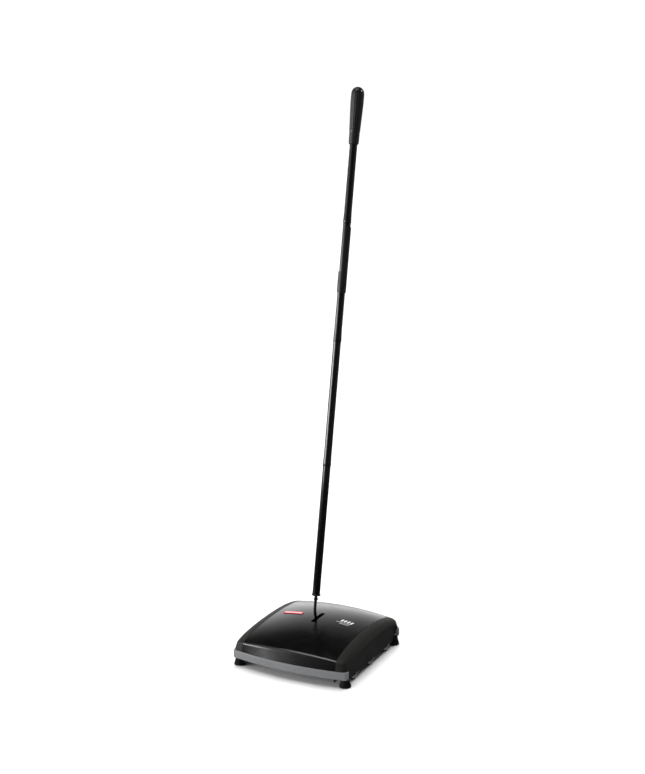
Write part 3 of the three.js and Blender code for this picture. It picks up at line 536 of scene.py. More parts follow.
def makeBadge():
    top = head["gap"] + badge["thick"]
    plateTile = deckTile(badge["centre"], badge["size"], top)
    makePiece("badgePlate", plateTile, "head", badgeRed, ["badge"],
              wall=badge["thick"] - 0.1, bevel=0.3)
    stripe = deckTile(badge["centre"], badge["stripe"], top + 0.06)
    makePiece("badgeStripe", stripe, "head", badgePale, ["badge"], wall=0.1)


def makeMarks():
    # plain slanted bars over two thin lines, in place of printing
    midX, midY = marks["middle"]
    bars = bmesh.new()
    for k in range(marks["bars"]):
        x = midX + (k - (marks["bars"] - 1) / 2) * marks["pitch"] + 1.5
        joinMeshes(bars, deckTile((x, midY), (marks["barWidth"], marks["barLength"]), 0.08,
                                  marks["turn"], 1.2))
    makePiece("printedBars", bars, "head", inkWhite, [], wall=0.06)
    lines = bmesh.new()
    for k, length in enumerate(marks["lineLengths"]):
        y = midY - 9.2 - k * marks["linePitch"]
        joinMeshes(lines, deckTile((midX - 3 + 4 * k, y), (length, marks["lineWidth"]), 0.08,
                                   marks["turn"]))
    makePiece("printedLines", lines, "head", inkGrey, [], wall=0.06)


makeBadge()
makeMarks()

# skirts and bumpers
skirt = {"x": 121.4, "wall": 2, "clearance": 10, "arch": 3.4, "archReach": 22, "endLift": 8.8,
         "bulge": 0.9}


def skirtPoint(v, share):
    halfLong = archHalf - 4.5
    y = v * halfLong
    closest = min(abs(y - c) for c in (-head["wheelPitch"], 0, head["wheelPitch"]))
    lift = skirt["arch"] * math.cos(min(closest / skirt["archReach"], 1) * math.pi / 2) ** 2
    endShare = max(0, min(1, (abs(y) - 98) / 5))
    foot = skirt["clearance"] + max(lift, skirt["endLift"] * endShare * endShare * (3 - 2 * endShare))
    z = blend(foot, archZ(y) - 0.8, share)
    # the lower half swells a little over each wheel, and the foot is rolled in
    swell = skirt["bulge"] * (1 - min(closest / 30, 1) ** 2) * math.exp(-((z - 19) / 9) ** 2)
    roll = 1.2 * max(0, 1 - share / 0.07) ** 2
    return Vector((skirt["x"] - 0.9 - 1.8 * ((z - 24) / 30) ** 2 + swell - roll, y, z))


def makeSkirts():
    for side, hand in ((1, "Right"), (-1, "Left")):
        bm = sheetMesh(150, 26, lambda u, v: skirtPoint(u, (v + 1) / 2))
        faceOut(bm, (60, 0, 25))
        place = headPlace @ Matrix.Diagonal((side, 1, 1, 1))
        makePiece("skirt" + hand, bm, "head", skirtGrain,
                  ["side_skirt_" + hand.lower()], place=place, wall=skirt["wall"], bevel=0.5)


def bumperPoint(along, around):
    # a rounded bar section carried along the bumper's bowed line and round its corners
    angle = (around + 1) * math.pi
    squareness = 0.34
    cosine, sine = math.cos(angle), math.sin(angle)
    depth = head["bumperDepth"] / 2 * (1 - math.copysign(abs(cosine) ** squareness, cosine))
    z = head["bumperClearance"] + head["bumperHeight"] / 2 * (1 + math.copysign(abs(sine) ** squareness,
                                                                                sine))
    radius, run = head["cornerRadius"], head["cornerRun"]
    outer = head["halfWidth"] + head["bumperOverhang"]
    turnX = outer - radius
    arc = radius * math.pi / 2
    far = abs(along) * (turnX + arc + run)  # length from the middle
    bow = head["frontBow"] * (min(far, turnX) / arcX) ** 2
    if far <= turnX:
        return Vector((math.copysign(far, along), -(head["halfDepth"] - depth - bow), z))
    centreY = head["halfDepth"] - bow - radius
    turn = min((far - turnX) / radius, math.pi / 2)
    beyond = max(0, far - turnX - arc)
    x = turnX + (radius - depth) * math.sin(turn)
    return Vector((math.copysign(x, along), -(centreY + (radius - depth) * math.cos(turn) - beyond), z))


def makeBumpers():
    for end, side in (("front", 1), ("rear", -1)):
        bm = sheetMesh(240, 40, bumperPoint)
        bmesh.ops.remove_doubles(bm, verts=bm.verts, dist=1e-3)
        bmesh.ops.holes_fill(bm, edges=bm.edges, sides=0)
        bmesh.ops.recalc_face_normals(bm, faces=bm.faces)
        place = headPlace @ Matrix.Diagonal((1, side, 1, 1))
        makePiece(end + "Bumper", bm, "head", bumperRubber, [end + "_bumper"],
                  place=place, bevel=0.9)


makeSkirts()
makeBumpers()
print("skirts and bumpers made")

# wheels
wheel = {"tyreDepth": 3, "ringInner": 16.6, "spokes": 5, "width": 12}


def wheelPlaces():
    for place in ("front", "middle", "rear"):
        for hand in ("left", "right"):
            low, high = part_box(f"wheel_tyre_{place}_{hand}")
            side = 1 if hand == "right" else -1
            centre = (low + high) / 2
            inner = Vector((centre.x - side * wheel["width"] / 2 * mm, centre.y, centre.z))
            turn = Matrix.Rotation(side * math.pi / 2, 4, "Y")
            yield place, hand, Matrix.Translation(inner) @ turn @ Matrix.Scale(mm, 4)


def makeWheels():
    radius, width = head["wheelRadius"], wheel["width"]
    rim, ring = radius - wheel["tyreDepth"], wheel["ringInner"]
    tread = [(radius, z) for z in (1.4, 3.2)] + [(radius - 0.5, 3.5), (radius - 0.5, 4.1), (radius, 4.4)]
    tread += [(radius, 7.4), (radius - 0.5, 7.7), (radius - 0.5, 8.3), (radius, 8.6), (radius, 10.2)]
    tyreProfile = [(rim, 0), (radius - 0.9, 0), *tread, (radius - 1.1, width - 0.5), (rim, width)]
    ringProfile = [(ring, 0.6), (rim - 0.3, 0.3), (rim - 0.3, width - 0.2), (rim - 0.9, width + 0.1),
                   (ring + 0.9, width + 0.1), (ring, width - 0.6)]
    discProfile = [(3.3, 0.8), (8, 0.8), (8, 3.5), (ring - 0.4, 3.5), (ring - 0.1, 1.0),
                   (ring - 0.1, width - 1),
                   (ring - 1.1, width - 2.6), (9, width - 3.2), (8, width - 2.2), (3.3, width - 2.2)]
    for place, hand, at in wheelPlaces():
        title = place.capitalize() + hand.capitalize()
        body, hub = f"wheel_{place}_{hand}", [f"wheel_hub_{place}_{hand}"]
        makePiece("tyre" + title, turnedMesh(tyreProfile, 72, True), body, tyreBlack,
                  [f"wheel_tyre_{place}_{hand}"], place=at, bevel=0.2)
        makePiece("wheelRing" + title, turnedMesh(ringProfile, 72, True), body,
                  wheelGrey, hub,
                  place=at, bevel=0.25)
        disc = turnedMesh(discProfile, 64, True)
        for k in range(wheel["spokes"]):
            rib = bmesh.new()
            addBlock(rib, (7.4, -0.8, width - 3.6), (ring - 0.8, 0.8, width - 1.6))
            bmesh.ops.rotate(rib, verts=rib.verts, cent=(0, 0, 0),
                             matrix=Matrix.Rotation(fullTurn * k / 5, 3, "Z"))
            joinMeshes(disc, rib)
        makePiece("wheelDisc" + title, disc, body, wheelDark, hub, place=at, bevel=0.25)
        axle = [(0, -12.5), (4.1, -12.5), (4.5, -12.1), (4.5, -9.8), (3, -9.8), (3, width - 2.1),
                (5.2, width - 2.1), (5.0, width - 1.4), (3.6, width - 0.8), (1.6, width - 0.55), (0,
                                                                                                  width - 0.5)]
        makePiece("axle" + title, turnedMesh(axle, 32), "head", zinc,
                  [f"wheel_axle_{place}_{hand}"], place=at, bevel=0.15)


makeWheels()
print("wheels made")

# rolls
rolls = {"coreRadius": 9, "tipRadius": 23.4, "coreHalf": 95.5, "drum": (105.2, 115.2, 12.9),
         "journal": 4,
         "rows": 6, "tuftPitch": 5.2, "twist": math.pi / 2, "blades": 5, "bladeTwist": math.pi / 5}


def makeRollCore(name, body, at):
    start, end, drum = rolls["drum"]
    half = rolls["coreHalf"]
    side = [(0, -end), (drum - 0.7, -end), (drum, -end + 0.7)]
    side += [(drum - 0.35 * (k % 2), -end + 0.7 + 0.9 * k) for k in range(1, 10)]
    side += [(drum, -start), (rolls["journal"], -start), (rolls["journal"], -half),
             (rolls["coreRadius"], -half)]
    profile = side + [(r, -z) for r, z in reversed(side)]
    makePiece(name + "Core", turnedMesh(profile, 48), body, mouldedBlack,
              [body + "_core"],
              place=at, bevel=0.2)


def makeBristleRoll(at):
    bm = bmesh.new()
    half = rolls["coreHalf"] - 1.4
    perRow = int(2 * half / rolls["tuftPitch"])
    inner, outer = rolls["coreRadius"] - 0.3, rolls["tipRadius"]
    for row in range(rolls["rows"]):
        for k in range(perRow + 1):
            along = -half + 2 * half * k / perRow
            turn = fullTurn * row / rolls["rows"] + rolls["twist"] * along / (2 * half)
            for strand in range(9):
                spread = fullTurn * strand / 9
                tip = Vector((along + 1.5 * math.cos(spread) + random.uniform(-0.4, 0.4), 0,
                              outer - random.uniform(0, 1.1)))
                tip.y = 1.9 * math.sin(spread) + random.uniform(-0.5, 0.5)
                tip.z = math.sqrt(max(tip.z ** 2 - tip.y ** 2, 1))
                root = Vector((along + 0.5 * math.cos(spread), 0.5 * math.sin(spread), inner))
                line = tip - root
                aim = line.to_track_quat("Z", "Y").to_matrix().to_4x4()
                spin = Matrix.Rotation(turn, 4, "X")
                bmesh.ops.create_cone(bm, cap_ends=True, segments=3, radius1=0.5, radius2=0.3,
                                      depth=line.length,
                                      matrix=spin @ Matrix.Translation((root + tip) / 2) @ aim)
    makePiece("frontRollBristles", bm, "front_roll", bristleBlack,
              ["front_roll_bristles"],
              place=at, sharp=80)


def makeBladeRoll(at):
    bm = bmesh.new()
    half = rolls["coreHalf"] - 1.4
    inner, outer = rolls["coreRadius"] - 0.2, rolls["tipRadius"]
    for blade in range(rolls["blades"]):
        start = fullTurn * blade / rolls["blades"]

        def place(u, v):
            # v runs up one face of the blade, over its tip and down the other
            share = 1 - abs(v)
            radius = blend(inner, outer, share ** 0.8)
            thick = blend(2.0, 1.1, share) * max(-1, min(1, v * 9))
            sweep = 0.16 * share * share
            turn = start + rolls["bladeTwist"] * u / 2 + sweep
            across = Vector((0, -math.sin(turn), math.cos(turn)))
            outward = Vector((0, math.cos(turn), math.sin(turn)))
            return Vector((u * half, 0, 0)) + outward * radius + across * thick

        sheet = sheetMesh(60, 28, place)
        bmesh.ops.holes_fill(sheet, edges=sheet.edges, sides=0)
        bmesh.ops.recalc_face_normals(sheet, faces=sheet.faces)
        joinMeshes(bm, sheet)
    sleeve = turnedMesh([(9.3, -half), (10.6, -half), (10.6, half), (9.3, half)], 48, True)
    bmesh.ops.rotate(sleeve, verts=sleeve.verts, cent=(0, 0, 0),
                     matrix=Matrix.Rotation(math.pi / 2, 3, "Y"))
    joinMeshes(bm, sleeve)
    makePiece("rearRollBlades", bm, "rear_roll", bladeBlack, ["rear_roll_blades"],
              place=at, sharp=50)


def makeRolls():
    for name, body in (("frontRoll", "front_roll"), ("rearRoll", "rear_roll")):
        low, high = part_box(body + "_core")
        centre = Matrix.Translation((low + high) / 2) @ Matrix.Scale(mm, 4)
        makeRollCore(name, body, centre @ Matrix.Rotation(math.pi / 2, 4, "Y"))
        if name == "frontRoll":
            makeBristleRoll(centre)
        else:
            makeBladeRoll(centre)


makeRolls()
print("rolls made")

# corner brushes
corner = {"radius": 11.9, "rootRadius": 6.9, "hubBottom": 10.5, "hubTop": 16.8, "tufts": 13,
          "strands": 12}


def makeCornerBrush(end, hand):
    low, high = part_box(f"corner_brush_hub_{end}_{hand}")
    at = Matrix.Translation(((low.x + high.x) / 2, (low.y + high.y) / 2, 0)) @ Matrix.Scale(mm, 4)
    title = end.capitalize() + hand.capitalize()
    bottom, top = corner["hubBottom"], corner["hubTop"]
    hubProfile = [(0, bottom), (7.6, bottom), (8.2, bottom + 0.5), (8.5, bottom + 1.6),
                  (9.3, bottom + 2.0),
                  (9.3, bottom + 3.2), (8.5, bottom + 3.6), (8.6, top - 0.4), (8.2, top), (2.3, top),
                  (2.3, top - 4.8), (0, top - 4.8)]
    hub = turnedMesh(hubProfile, 48)
    for k in range(corner["tufts"]):
        cup = bmesh.new()
        bmesh.ops.create_cone(cup, cap_ends=True, segments=14, radius1=1.9, radius2=1.6, depth=3.4,
                              matrix=Matrix.Translation((corner["rootRadius"] + 0.7, 0, bottom + 1.2)))
        bmesh.ops.rotate(cup, verts=cup.verts, cent=(0, 0, 0),
                         matrix=Matrix.Rotation(fullTurn * k / corner["tufts"], 3, "Z"))
        joinMeshes(hub, cup)
    makePiece("brushHub" + title, hub, f"corner_brush_{end}_{hand}", fittingBlack,
              [f"corner_brush_hub_{end}_{hand}"], place=at, bevel=0.15)
    bm = bmesh.new()
    for k in range(corner["tufts"]):
        turn = fullTurn * k / corner["tufts"]
        for strand in range(corner["strands"]):
            spread = fullTurn * strand / corner["strands"]
            reach = 0.6 + 0.8 * (strand % 2)
            root = Vector((corner["rootRadius"] + 0.7 + reach * math.cos(spread),
                           reach * math.sin(spread), bottom + 0.3))
            tip = Vector((corner["radius"] - 1.9 + 1.35 * reach * math.cos(spread) + random.uniform(-0.2, 0.1),
                          1.5 * reach * math.sin(spread), random.uniform(0.05, 0.5)))
            tip.x = min(tip.x, math.sqrt(corner["radius"] ** 2 - tip.y ** 2) - 0.5)
            line = tip - root
            aim = line.to_track_quat("Z", "Y").to_matrix().to_4x4()
            around = Matrix.Rotation(turn, 4, "Z")
            bmesh.ops.create_cone(bm, cap_ends=True, segments=5, radius1=0.55, radius2=0.48,
                                  depth=line.length,
                                  matrix=around @ Matrix.Translation((root + tip) / 2) @ aim)
    makePiece("brushTufts" + title, bm, f"corner_brush_{end}_{hand}", bristleBlack,
              [f"corner_brush_tufts_{end}_{hand}"], place=at, sharp=80)


for end in ("front", "rear"):
    for hand in ("left", "right"):
        makeCornerBrush(end, hand)
print("corner brushes made")

# underside: doors, pins, springs, screws
door = {"half": 95, "outer": 118.0, "inner": 65.8, "z": 11, "wall": 1.5, "lip": 6, "hingeY": 115.0,
        "hingeZ": 13,
        "springGap": 7, "ribs": 7, "pinRadius": 1.4}


def makeDoor(end, side):
    # drawn for the front, where |y| is negative
    z, wall, half = door["z"], door["wall"], door["half"]
    outer, inner, hinge = -door["outer"], -door["inner"], -door["hingeY"]
    bm = bmesh.new()
    window = door["springGap"]
    addBlock(bm, (-half, hinge + 5, z), (half, inner, z + wall))
    for x0, x1 in ((-half, -window), (window, half)):
        addBlock(bm, (x0, outer, z), (x1, hinge + 5.01, z + wall))
    addBlock(bm, (-half, inner - wall, z), (half, inner, z + door["lip"]))
    for x0, x1 in ((-half, -half + wall), (half - wall, half)):
        addBlock(bm, (x0, hinge + 2, z), (x1, inner, z + door["lip"]))
    for k in range(door["ribs"]):
        x = blend(-half + 12, half - 12, k / (door["ribs"] - 1))
        addBlock(bm, (x - 0.7, hinge + 6, z - 0.7), (x + 0.7, inner - 4, z + 0.2))
    addBlock(bm, (-16, inner - 7, z - 0.8), (16, inner - 5.4, z + 0.2))
    addBlock(bm, (-16, inner - 3.6, z - 0.8), (16, inner - 2.0, z + 0.2))
    for x0, x1 in ((-half, -window), (window, half)):
        barrel = turnedMesh([(door["pinRadius"] + 0.25, x0), (2.8, x0), (2.8, x1),
                             (door["pinRadius"] + 0.25, x1)], 32, True)
        bmesh.ops.rotate(barrel, verts=barrel.verts, cent=(0, 0, 0),
                         matrix=Matrix.Rotation(math.pi / 2, 3, "Y"))
        bmesh.ops.translate(barrel, verts=barrel.verts, vec=(0, hinge, door["hingeZ"]))
        joinMeshes(bm, barrel)
    place = headPlace @ Matrix.Diagonal((1, side, 1, 1))
    makePiece(end + "PanDoor", bm, end + "_pan", mouldedBlack, [end + "_pan_door"],
              place=place, bevel=0.3)


def makePinAndSpring(end, side):
    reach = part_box(end + "_door_pin")[1].x / mm
    pin = turnedMesh([(0, -reach), (1.0, -reach), (1.4, -reach + 0.4), (1.4, reach - 0.4), (1.0, reach),
                      (0, reach)], 24)
    place = headPlace @ Matrix.Diagonal((1, side, 1, 1)) @ Matrix.Translation((0, -door["hingeY"],
                                                                               door["hingeZ"]))
    makePiece(end + "DoorPin", pin, "head", zinc, [end + "_door_pin"],
              place=place @ Matrix.Rotation(math.pi / 2, 4, "Y"))
    turns, wire, long = 5, 0.45, 10.6
    coil = [Vector((long * (k / 100 - 0.5), 2.5 * math.cos(fullTurn * turns * k / 100),
                    2.5 * math.sin(fullTurn * turns * k / 100))) for k in range(101)]
    tail = coil[-1] + Vector((0, 7.5, 0.3))
    lead = coil[0] + Vector((0, -3.2, 0.2))
    spring = pipeMesh([lead, *coil, tail], wire, 3)
    makePiece(end + "DoorSpring", spring, "head", zinc, [end + "_door_spring"],
              place=place)


def makeScrews():
    for k in range(1, 5):
        low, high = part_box(f"cover_screw_{k}")
        centre = (low + high) / 2
        at = Matrix.Translation((centre.x, centre.y, low.z)) @ Matrix.Scale(mm, 4)
        profile = [(0, 0), (1.6, 0.08), (2.5, 0.5), (3.1, 1.2), (3.2, 1.7), (3.2, 2.6), (1.4, 2.7)]
        thread = [(1.4 - 0.28 * (n % 2), 2.9 + 0.45 * n) for n in range(18)]
        screw = makePiece(f"coverScrew{k}", turnedMesh([*profile, *thread, (0, 12)], 32), "head",
                          zinc,
                          [f"cover_screw_{k}"], place=at)
        cross = bmesh.new()
        addBlock(cross, (-1.9, -0.4, -1), (1.9, 0.4, 1.1))
        addBlock(cross, (-0.4, -1.9, -1), (0.4, 1.9, 1.1))
        bmesh.ops.transform(cross, matrix=at, verts=cross.verts)
        carve(screw, cross)


for end, side in (("front", 1), ("rear", -1)):
    makeDoor(end, side)
    makePinAndSpring(end, side)
makeScrews()
print("underside made")

# handle
handle = {
    "lean": 10.5, "rodRadius": 2.9, "bend": (-15, 95), "pivotZ": 54, "rodToTube": 36,
    "tubeLengths": (242, 234, 247, 257), "tubeRadius": 7.7, "tubeWall": 0.9, "socketRadius": 8.3, "socketLength": 9,
    "gripLength": 112.4, "gripCover": 88.4, "gripRadius": 13.3, "gripRibs": 20, "ribDepth": 0.5,
    "hangHole": (2.1, 6.8, 7.6), "gripTurn": 26.3,
    "sleeveStart": 8, "sleeveLength": 129, "sleeveCut": 88, "sleeveRadius": 9.1,
}
lean = math.radians(handle["lean"])
handlePlace = (Matrix.Translation(headCentre + Vector((0, handle["bend"][0], handle["bend"][1])) * mm)
               @ Matrix.Rotation(-lean, 4, "X") @ Matrix.Scale(mm, 4))
pivotInHandle = Matrix.Rotation(lean, 3, "X") @ Vector((0, -handle["bend"][0],
                                                        handle["pivotZ"] - handle["bend"][1]))
tubeFeet = [handle["rodToTube"]]
for k in (3, 2, 1):
    tubeFeet.append(tubeFeet[-1] + handle["tubeLengths"][k])
topOfTubes = tubeFeet[-1] + handle["tubeLengths"][0]


def makeRod():
    towards = (-pivotInHandle).normalized()
    top = handle["rodToTube"] + 24
    bendStart, bendEnd = towards * -9, Vector((0, 0, 9))
    arc = [bendStart * (1 - w) ** 2 + bendEnd * w * w for w in [k / 12 for k in range(13)]]
    bm = pipeMesh([pivotInHandle, *arc, Vector((0, 0, top))], handle["rodRadius"], 6)
    foot = handle["rodToTube"]
    knuckle = turnedMesh([(0, foot - 13), (3.3, foot - 13), (4.3, foot - 11.6), (4.5, foot - 10.4),
                          (4.3, foot - 8.8),
                          (3.3, foot - 7.2), (0, foot - 7.2)], 32)
    ring = [(2.75, -7.4), (5.2, -7.4), (6, -6.6), (6, 6.6), (5.2, 7.4), (2.75, 7.4)]
    eye = turnedMesh(ring, 40, True)
    bmesh.ops.rotate(eye, verts=eye.verts, cent=(0, 0, 0), matrix=Matrix.Rotation(math.pi / 2, 3, "Y"))
    bmesh.ops.translate(eye, verts=eye.verts, vec=pivotInHandle)
    rod = makePiece("handleRod", bm, "handle", enamel, ["handle_rod"],
                    place=handlePlace)
    bore = turnedMesh([(0, -9), (2.8, -9), (2.8, 9), (0, 9)], 32)
    bmesh.ops.rotate(bore, verts=bore.verts, cent=(0, 0, 0), matrix=Matrix.Rotation(math.pi / 2, 3, "Y"))
    bmesh.ops.translate(bore, verts=bore.verts, vec=pivotInHandle)
    bmesh.ops.transform(bore, matrix=handlePlace, verts=bore.verts)
    carve(rod, bore)
    makePiece("rodKnuckleAndEye", joinMeshes(knuckle, eye), "handle", enamel,
              ["handle_rod"],
              place=handlePlace, bevel=0.2)


def makePlug():
    foot, rod = handle["rodToTube"], handle["rodRadius"] + 0.25
    bore = handle["tubeRadius"] - handle["tubeWall"] - 0.3
    profile = [(rod, foot - 3.3), (7.6, foot - 3.3), (8.7, foot - 2.7), (8.9, foot - 1.9),
               (8.9, foot - 0.4),
               (8.5, foot - 0.1), (bore, foot - 0.1), (bore, foot + 20), (rod, foot + 20)]
    makePiece("endPlug", turnedMesh(profile, 48, True), "handle", fittingBlack,
              ["end_plug"],
              place=handlePlace, bevel=0.15)


def makeTubes():
    outer, wall = handle["tubeRadius"], handle["tubeWall"]
    socket, long = handle["socketRadius"], handle["socketLength"]
    bore = outer - wall
    for k, name in enumerate(("tube_bottom", "tube_lower", "tube_upper", "tube_top")):
        foot = tubeFeet[k]
        top = topOfTubes if k == 3 else tubeFeet[k + 1] + long - 3
        if k:
            outside = [(outer + 0.15, foot + 0.3), (socket - 0.3, foot), (socket, foot + 0.4),
                       (socket, foot + 4)]
            outside += [(blend(socket, outer, share), foot + 4 + 16 * share) for share in (0.25, 0.5,
                                                                                           0.75, 1)]
            inside = [(bore, foot + long + 1), (outer + 0.15, foot + long)]
        else:
            outside = [(bore, foot + 0.15), (outer - 0.3, foot), (outer, foot + 0.4)]
            inside = []
        profile = [*outside, (outer, top), (bore, top), *inside]
        title = "tube" + name.split("_")[1].capitalize()
        makePiece(title, turnedMesh(profile, 64, True), "handle", enamel, [name],
                  place=handlePlace)


def makeSleeve():
    top = tubeFeet[3] - handle["sleeveStart"]
    foot, cut = top - handle["sleeveLength"], top - handle["sleeveCut"]
    radius = handle["sleeveRadius"]
    bm = turnedMesh([(radius, foot), (radius, blend(foot, cut, 0.5)), (radius, cut), (radius, top)], 64)
    bmesh.ops.bisect_plane(bm, geom=bm.verts[:] + bm.edges[:] + bm.faces[:], plane_co=(0, 0, 0),
                           plane_no=(1, 0, 0))
    doomed = [f for f in bm.faces if f.calc_center_median().x < 0 and f.calc_center_median().z > cut]
    bmesh.ops.delete(bm, geom=doomed, context="FACES")
    faceOut(bm, (0, 0, (foot + top) / 2))
    makePiece("tubeSleeve", bm, "handle", fittingBlack, ["tube_sleeve"],
              place=handlePlace,
              wall=1.1, bevel=0.3)


def gripRadiusAt(z):
    # z is measured down from the top of the dome
    full = handle["gripRadius"]
    if z < 16:
        return full * math.sqrt(max(0, 1 - ((16 - z) / 16) ** 2.3))
    if z < 30:
        return full
    if z < 85:
        return blend(full, 11.1, ((z - 30) / 55) ** 1.1)
    if z < 88:
        return blend(11.1, 10.4, (z - 85) / 3)
    return blend(10.4, 10.1, (z - 88) / 22)


def makeGrip():
    foot = topOfTubes - handle["gripCover"]
    top = foot + handle["gripLength"]
    bore = handle["tubeRadius"] + 0.3
    heights = [16 * (k / 18) ** 2 for k in range(18)] + [16 + 0.53 * k for k in range(133)]
    heights += [86.5 + 0.9 * k for k in range(27)]
    outside = [(gripRadiusAt(z), top - z) for z in heights]
    long = handle["gripLength"]
    collar = [(9.6, foot + 1.2), (9.0, foot + 0.2), (8.4, foot), (bore, foot + 0.1)]
    inside = [(bore, topOfTubes + 0.3), (0, topOfTubes + 0.3)]
    kept = [p for p in outside if p[1] > top - long + 2.2]
    bm = turnedMesh([*kept, *collar, *inside], 160)
    for v in bm.verts:
        down = top - v.co.z
        radius = v.co.xy.length
        if radius < 9.3 or not 8 < down < 86:
            continue
        angle = math.atan2(v.co.y, v.co.x)
        flute = 0.5 - 0.5 * math.cos(handle["gripRibs"] * angle)
        rib = 0.5 - 0.5 * math.cos(fullTurn * down / 3.2)
        groove = max(flute, 0.8 * rib)
        ends = min(1, (down - 8) / 5, (86 - down) / 3)
        shrink = 1 - handle["ribDepth"] * groove * max(0, ends) / radius
        v.co.x *= shrink
        v.co.y *= shrink
    grip = makePiece("grip", bm, "handle", gripBlack, ["grip"], place=handlePlace,
                     sharp=50)
    holeRadius, holeSide, holeDown = handle["hangHole"]
    hole = turnedMesh([(0, -20), (holeRadius, -20), (holeRadius, 20), (0, 20)], 32)
    bmesh.ops.rotate(hole, verts=hole.verts, cent=(0, 0, 0), matrix=Matrix.Rotation(math.pi / 2, 3, "X"))
    bmesh.ops.translate(hole, verts=hole.verts, vec=(holeSide, 0, top - holeDown))
    bmesh.ops.rotate(hole, verts=hole.verts, cent=(0, 0, 0),
                     matrix=Matrix.Rotation(math.radians(handle["gripTurn"]), 3, "Z"))
    bmesh.ops.transform(hole, matrix=handlePlace, verts=hole.verts)
    carve(grip, hole)


makeRod()
makePlug()
makeTubes()
makeSleeve()
makeGrip()
print("handle made")

# CAD nodes that are shown as they are
for name, material in (("chassis", mouldedBlack), ("pivot_bracket", zinc), ("pivot_pin", zinc)):
    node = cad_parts[name]
    node.data.materials.clear()
    node.data.materials.append(material)

# camera, floor and light
view = {"azimuth": 26.896, "elevation": 12.012, "distance": 2.5, "aimHeight": 0.55, "slideX": 0.0088,
        "slideY": 0.00025, "lens": 60.232}


def makeCamera():
    azimuth, elevation = math.radians(view["azimuth"]), math.radians(view["elevation"])
    forward = Vector((-math.sin(azimuth) * math.cos(elevation), math.cos(azimuth) * math.cos(elevation),
                      -math.sin(elevation)))
    right = Vector((math.cos(azimuth), math.sin(azimuth), 0))
    up = right.cross(forward)
    aim = headCentre + Vector((0, 0, view["aimHeight"])) + right * view["slideX"] + up * view["slideY"]
    camera = bpy.data.objects.new("camera", bpy.data.cameras.new("camera"))
    camera.data.lens = view["lens"]
    camera.data.sensor_width = 36
    camera.data.clip_end = 50
    turn = Matrix((right, up, -forward)).transposed().to_4x4()
    camera.matrix_world = Matrix.Translation(aim - forward * view["distance"]) @ turn
    bpy.context.scene.collection.objects.link(camera)
    bpy.context.scene.camera = camera
    return forward, right


forward, right = makeCamera()
level = Vector((forward.x, forward.y, 0)).normalized()


def makeFloor():
    # white paper sweep: evenly pale and matte, and clear from below so that the underside can be looked at
    material, tree, shader, place = startMaterial("whitePaperSweep", Roughness=0.85,
                                                  Base_Color=srgb("#fafafa"))
    below = addNode(tree, "ShaderNodeNewGeometry").outputs["Backfacing"]
    clear = addNode(tree, "ShaderNodeBsdfTransparent")
    mixed = addNode(tree, "ShaderNodeMixShader",
                    {0: below, 1: shader.outputs["BSDF"], 2: clear.outputs["BSDF"]})
    tree.links.new(mixed.outputs["Shader"], tree.nodes["Material Output"].inputs["Surface"])
    bm = bmesh.new()
    bmesh.ops.create_grid(bm, x_segments=2, y_segments=2, size=40)
    mesh = bpy.data.meshes.new("floor")
    bm.to_mesh(mesh)
    bm.free()
    mesh.materials.append(material)
    floor = bpy.data.objects.new("floor", mesh)
    bpy.context.scene.collection.objects.link(floor)
    floor.visible_glossy = False


light = {
    "glow": 2.1,
    "heights": (-0.3, 0.9),
    "rise": ((0.0, 0.2), (0.17, 0.5), (0.22, 0.96), (0.35, 0.8), (0.45, 0.6), (0.57, 0.36), (0.62, 0.29),
             (0.68, 0.22), (0.75, 0.06), (0.86, 0.03), (1.0, 0.02)),
    "leftward": 0.15,
    "turn": ((0.1, 0.06), (0.3, 0.17), (0.5, 0.21), (0.7, 0.24), (0.86, 0.34), (0.93, 0.7), (1.0, 1.0)),
}


def addSun(name, strength, spread, fromDirection, seenInGloss=True):
    data = bpy.data.lights.new(name, "SUN")
    data.energy = strength
    data.angle = math.radians(spread)
    lamp = bpy.data.objects.new(name, data)
    lamp.rotation_mode = "QUATERNION"
    lamp.rotation_quaternion = fromDirection.to_track_quat("Z", "Y")
    lamp.visible_glossy = seenInGloss
    bpy.context.scene.collection.objects.link(lamp)


def addSoftbox(name, power, size, spot, target):
    data = bpy.data.lights.new(name, "AREA")
    data.shape = "RECTANGLE"
    data.size, data.size_y = size
    data.energy = power
    lamp = bpy.data.objects.new(name, data)
    lamp.location = spot
    lamp.rotation_mode = "QUATERNION"
    lamp.rotation_quaternion = (spot - target).to_track_quat("Z", "Y")
    bpy.context.scene.collection.objects.link(lamp)


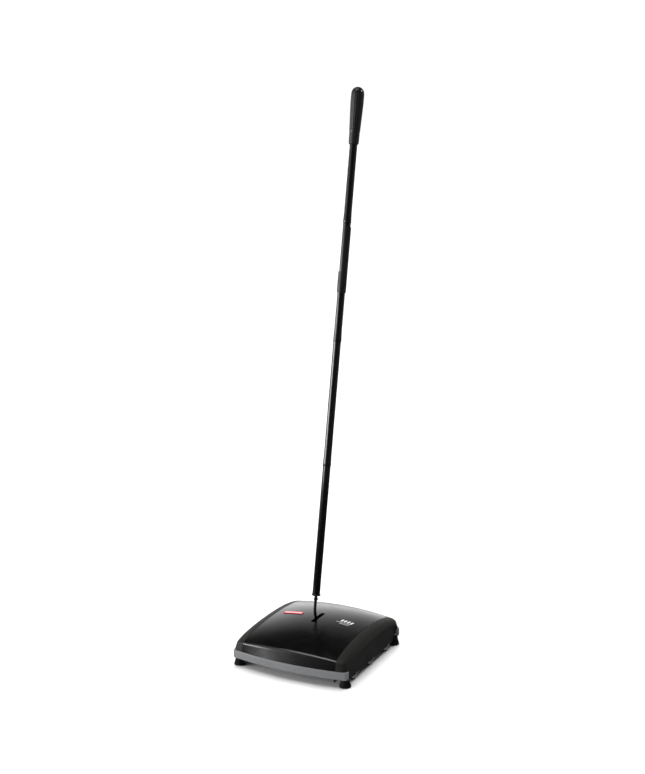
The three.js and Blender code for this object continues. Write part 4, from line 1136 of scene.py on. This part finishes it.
def makeWorld():
    # a white cove that is bright low down and at the sides, dark above and behind the camera
    world = bpy.data.worlds.new("studio")
    world.use_nodes = True
    tree = world.node_tree
    tree.nodes.clear()
    direction = addNode(tree, "ShaderNodeTexCoord").outputs["Generated"]
    height = addNode(tree, "ShaderNodeSeparateXYZ", {"Vector": direction}).outputs["Z"]
    lowest, highest = light["heights"]
    share = addNode(tree, "ShaderNodeMapRange",
                    {"Value": height, "From Min": lowest, "From Max": highest, "To Min": 0, "To Max": 1})
    rise = addNode(tree, "ShaderNodeValToRGB", {"Fac": share.outputs["Result"]})
    brightest = (level - right * light["leftward"]).normalized()
    facing = addNode(tree, "ShaderNodeVectorMath", {0: direction, 1: brightest}, operation="DOT_PRODUCT")
    around = addNode(tree, "ShaderNodeMapRange",
                     {"Value": facing.outputs["Value"], "From Min": -1, "From Max": 1, "To Min": 0,
                      "To Max": 1})
    turn = addNode(tree, "ShaderNodeValToRGB", {"Fac": around.outputs["Result"]})
    for ramp, stops in ((rise, light["rise"]), (turn, light["turn"])):
        elements = ramp.color_ramp.elements
        for element, (position, grey) in zip(elements, (stops[0], stops[-1])):
            element.position, element.color = position, (grey, grey, grey, 1)
        for position, grey in stops[1:-1]:
            elements.new(position).color = (grey, grey, grey, 1)
    shade = addNode(tree, "ShaderNodeMath", {0: rise.outputs["Color"], 1: turn.outputs["Color"]},
                    operation="MULTIPLY")
    seen = addNode(tree, "ShaderNodeLightPath").outputs["Is Camera Ray"]
    studio = addNode(tree, "ShaderNodeBackground",
                     {"Color": shade.outputs["Value"], "Strength": light["glow"]})
    backdrop = addNode(tree, "ShaderNodeBackground", {"Color": (1, 1, 1, 1), "Strength": 1.05})
    mixed = addNode(tree, "ShaderNodeMixShader",
                    {0: seen, 1: studio.outputs["Background"], 2: backdrop.outputs["Background"]})
    addNode(tree, "ShaderNodeOutputWorld", {"Surface": mixed.outputs["Shader"]})
    bpy.context.scene.world = world


makeFloor()
makeWorld()
up = Vector((0, 0, 1))
addSun("backFill", 3.0, 55, up + level * 0.45 + right * 0.2, False)
addSun("overhead", 1.3, 34, up - level * 0.12 - right * 0.25)
addSoftbox("leftSoftbox", 9, (1.6, 2.0), headCentre - right * 1.7 - level * 0.4 + up * 1.05,
           headCentre + up * 0.4)
addSoftbox("lowLeftStrip", 110, (2.4, 1.1), headCentre - right * 3.9 - level * 0.7 + up * 0.8,
           headCentre + up * 0.6)
bpy.context.scene.view_settings.view_transform = "Standard"
print("camera, floor and light made")
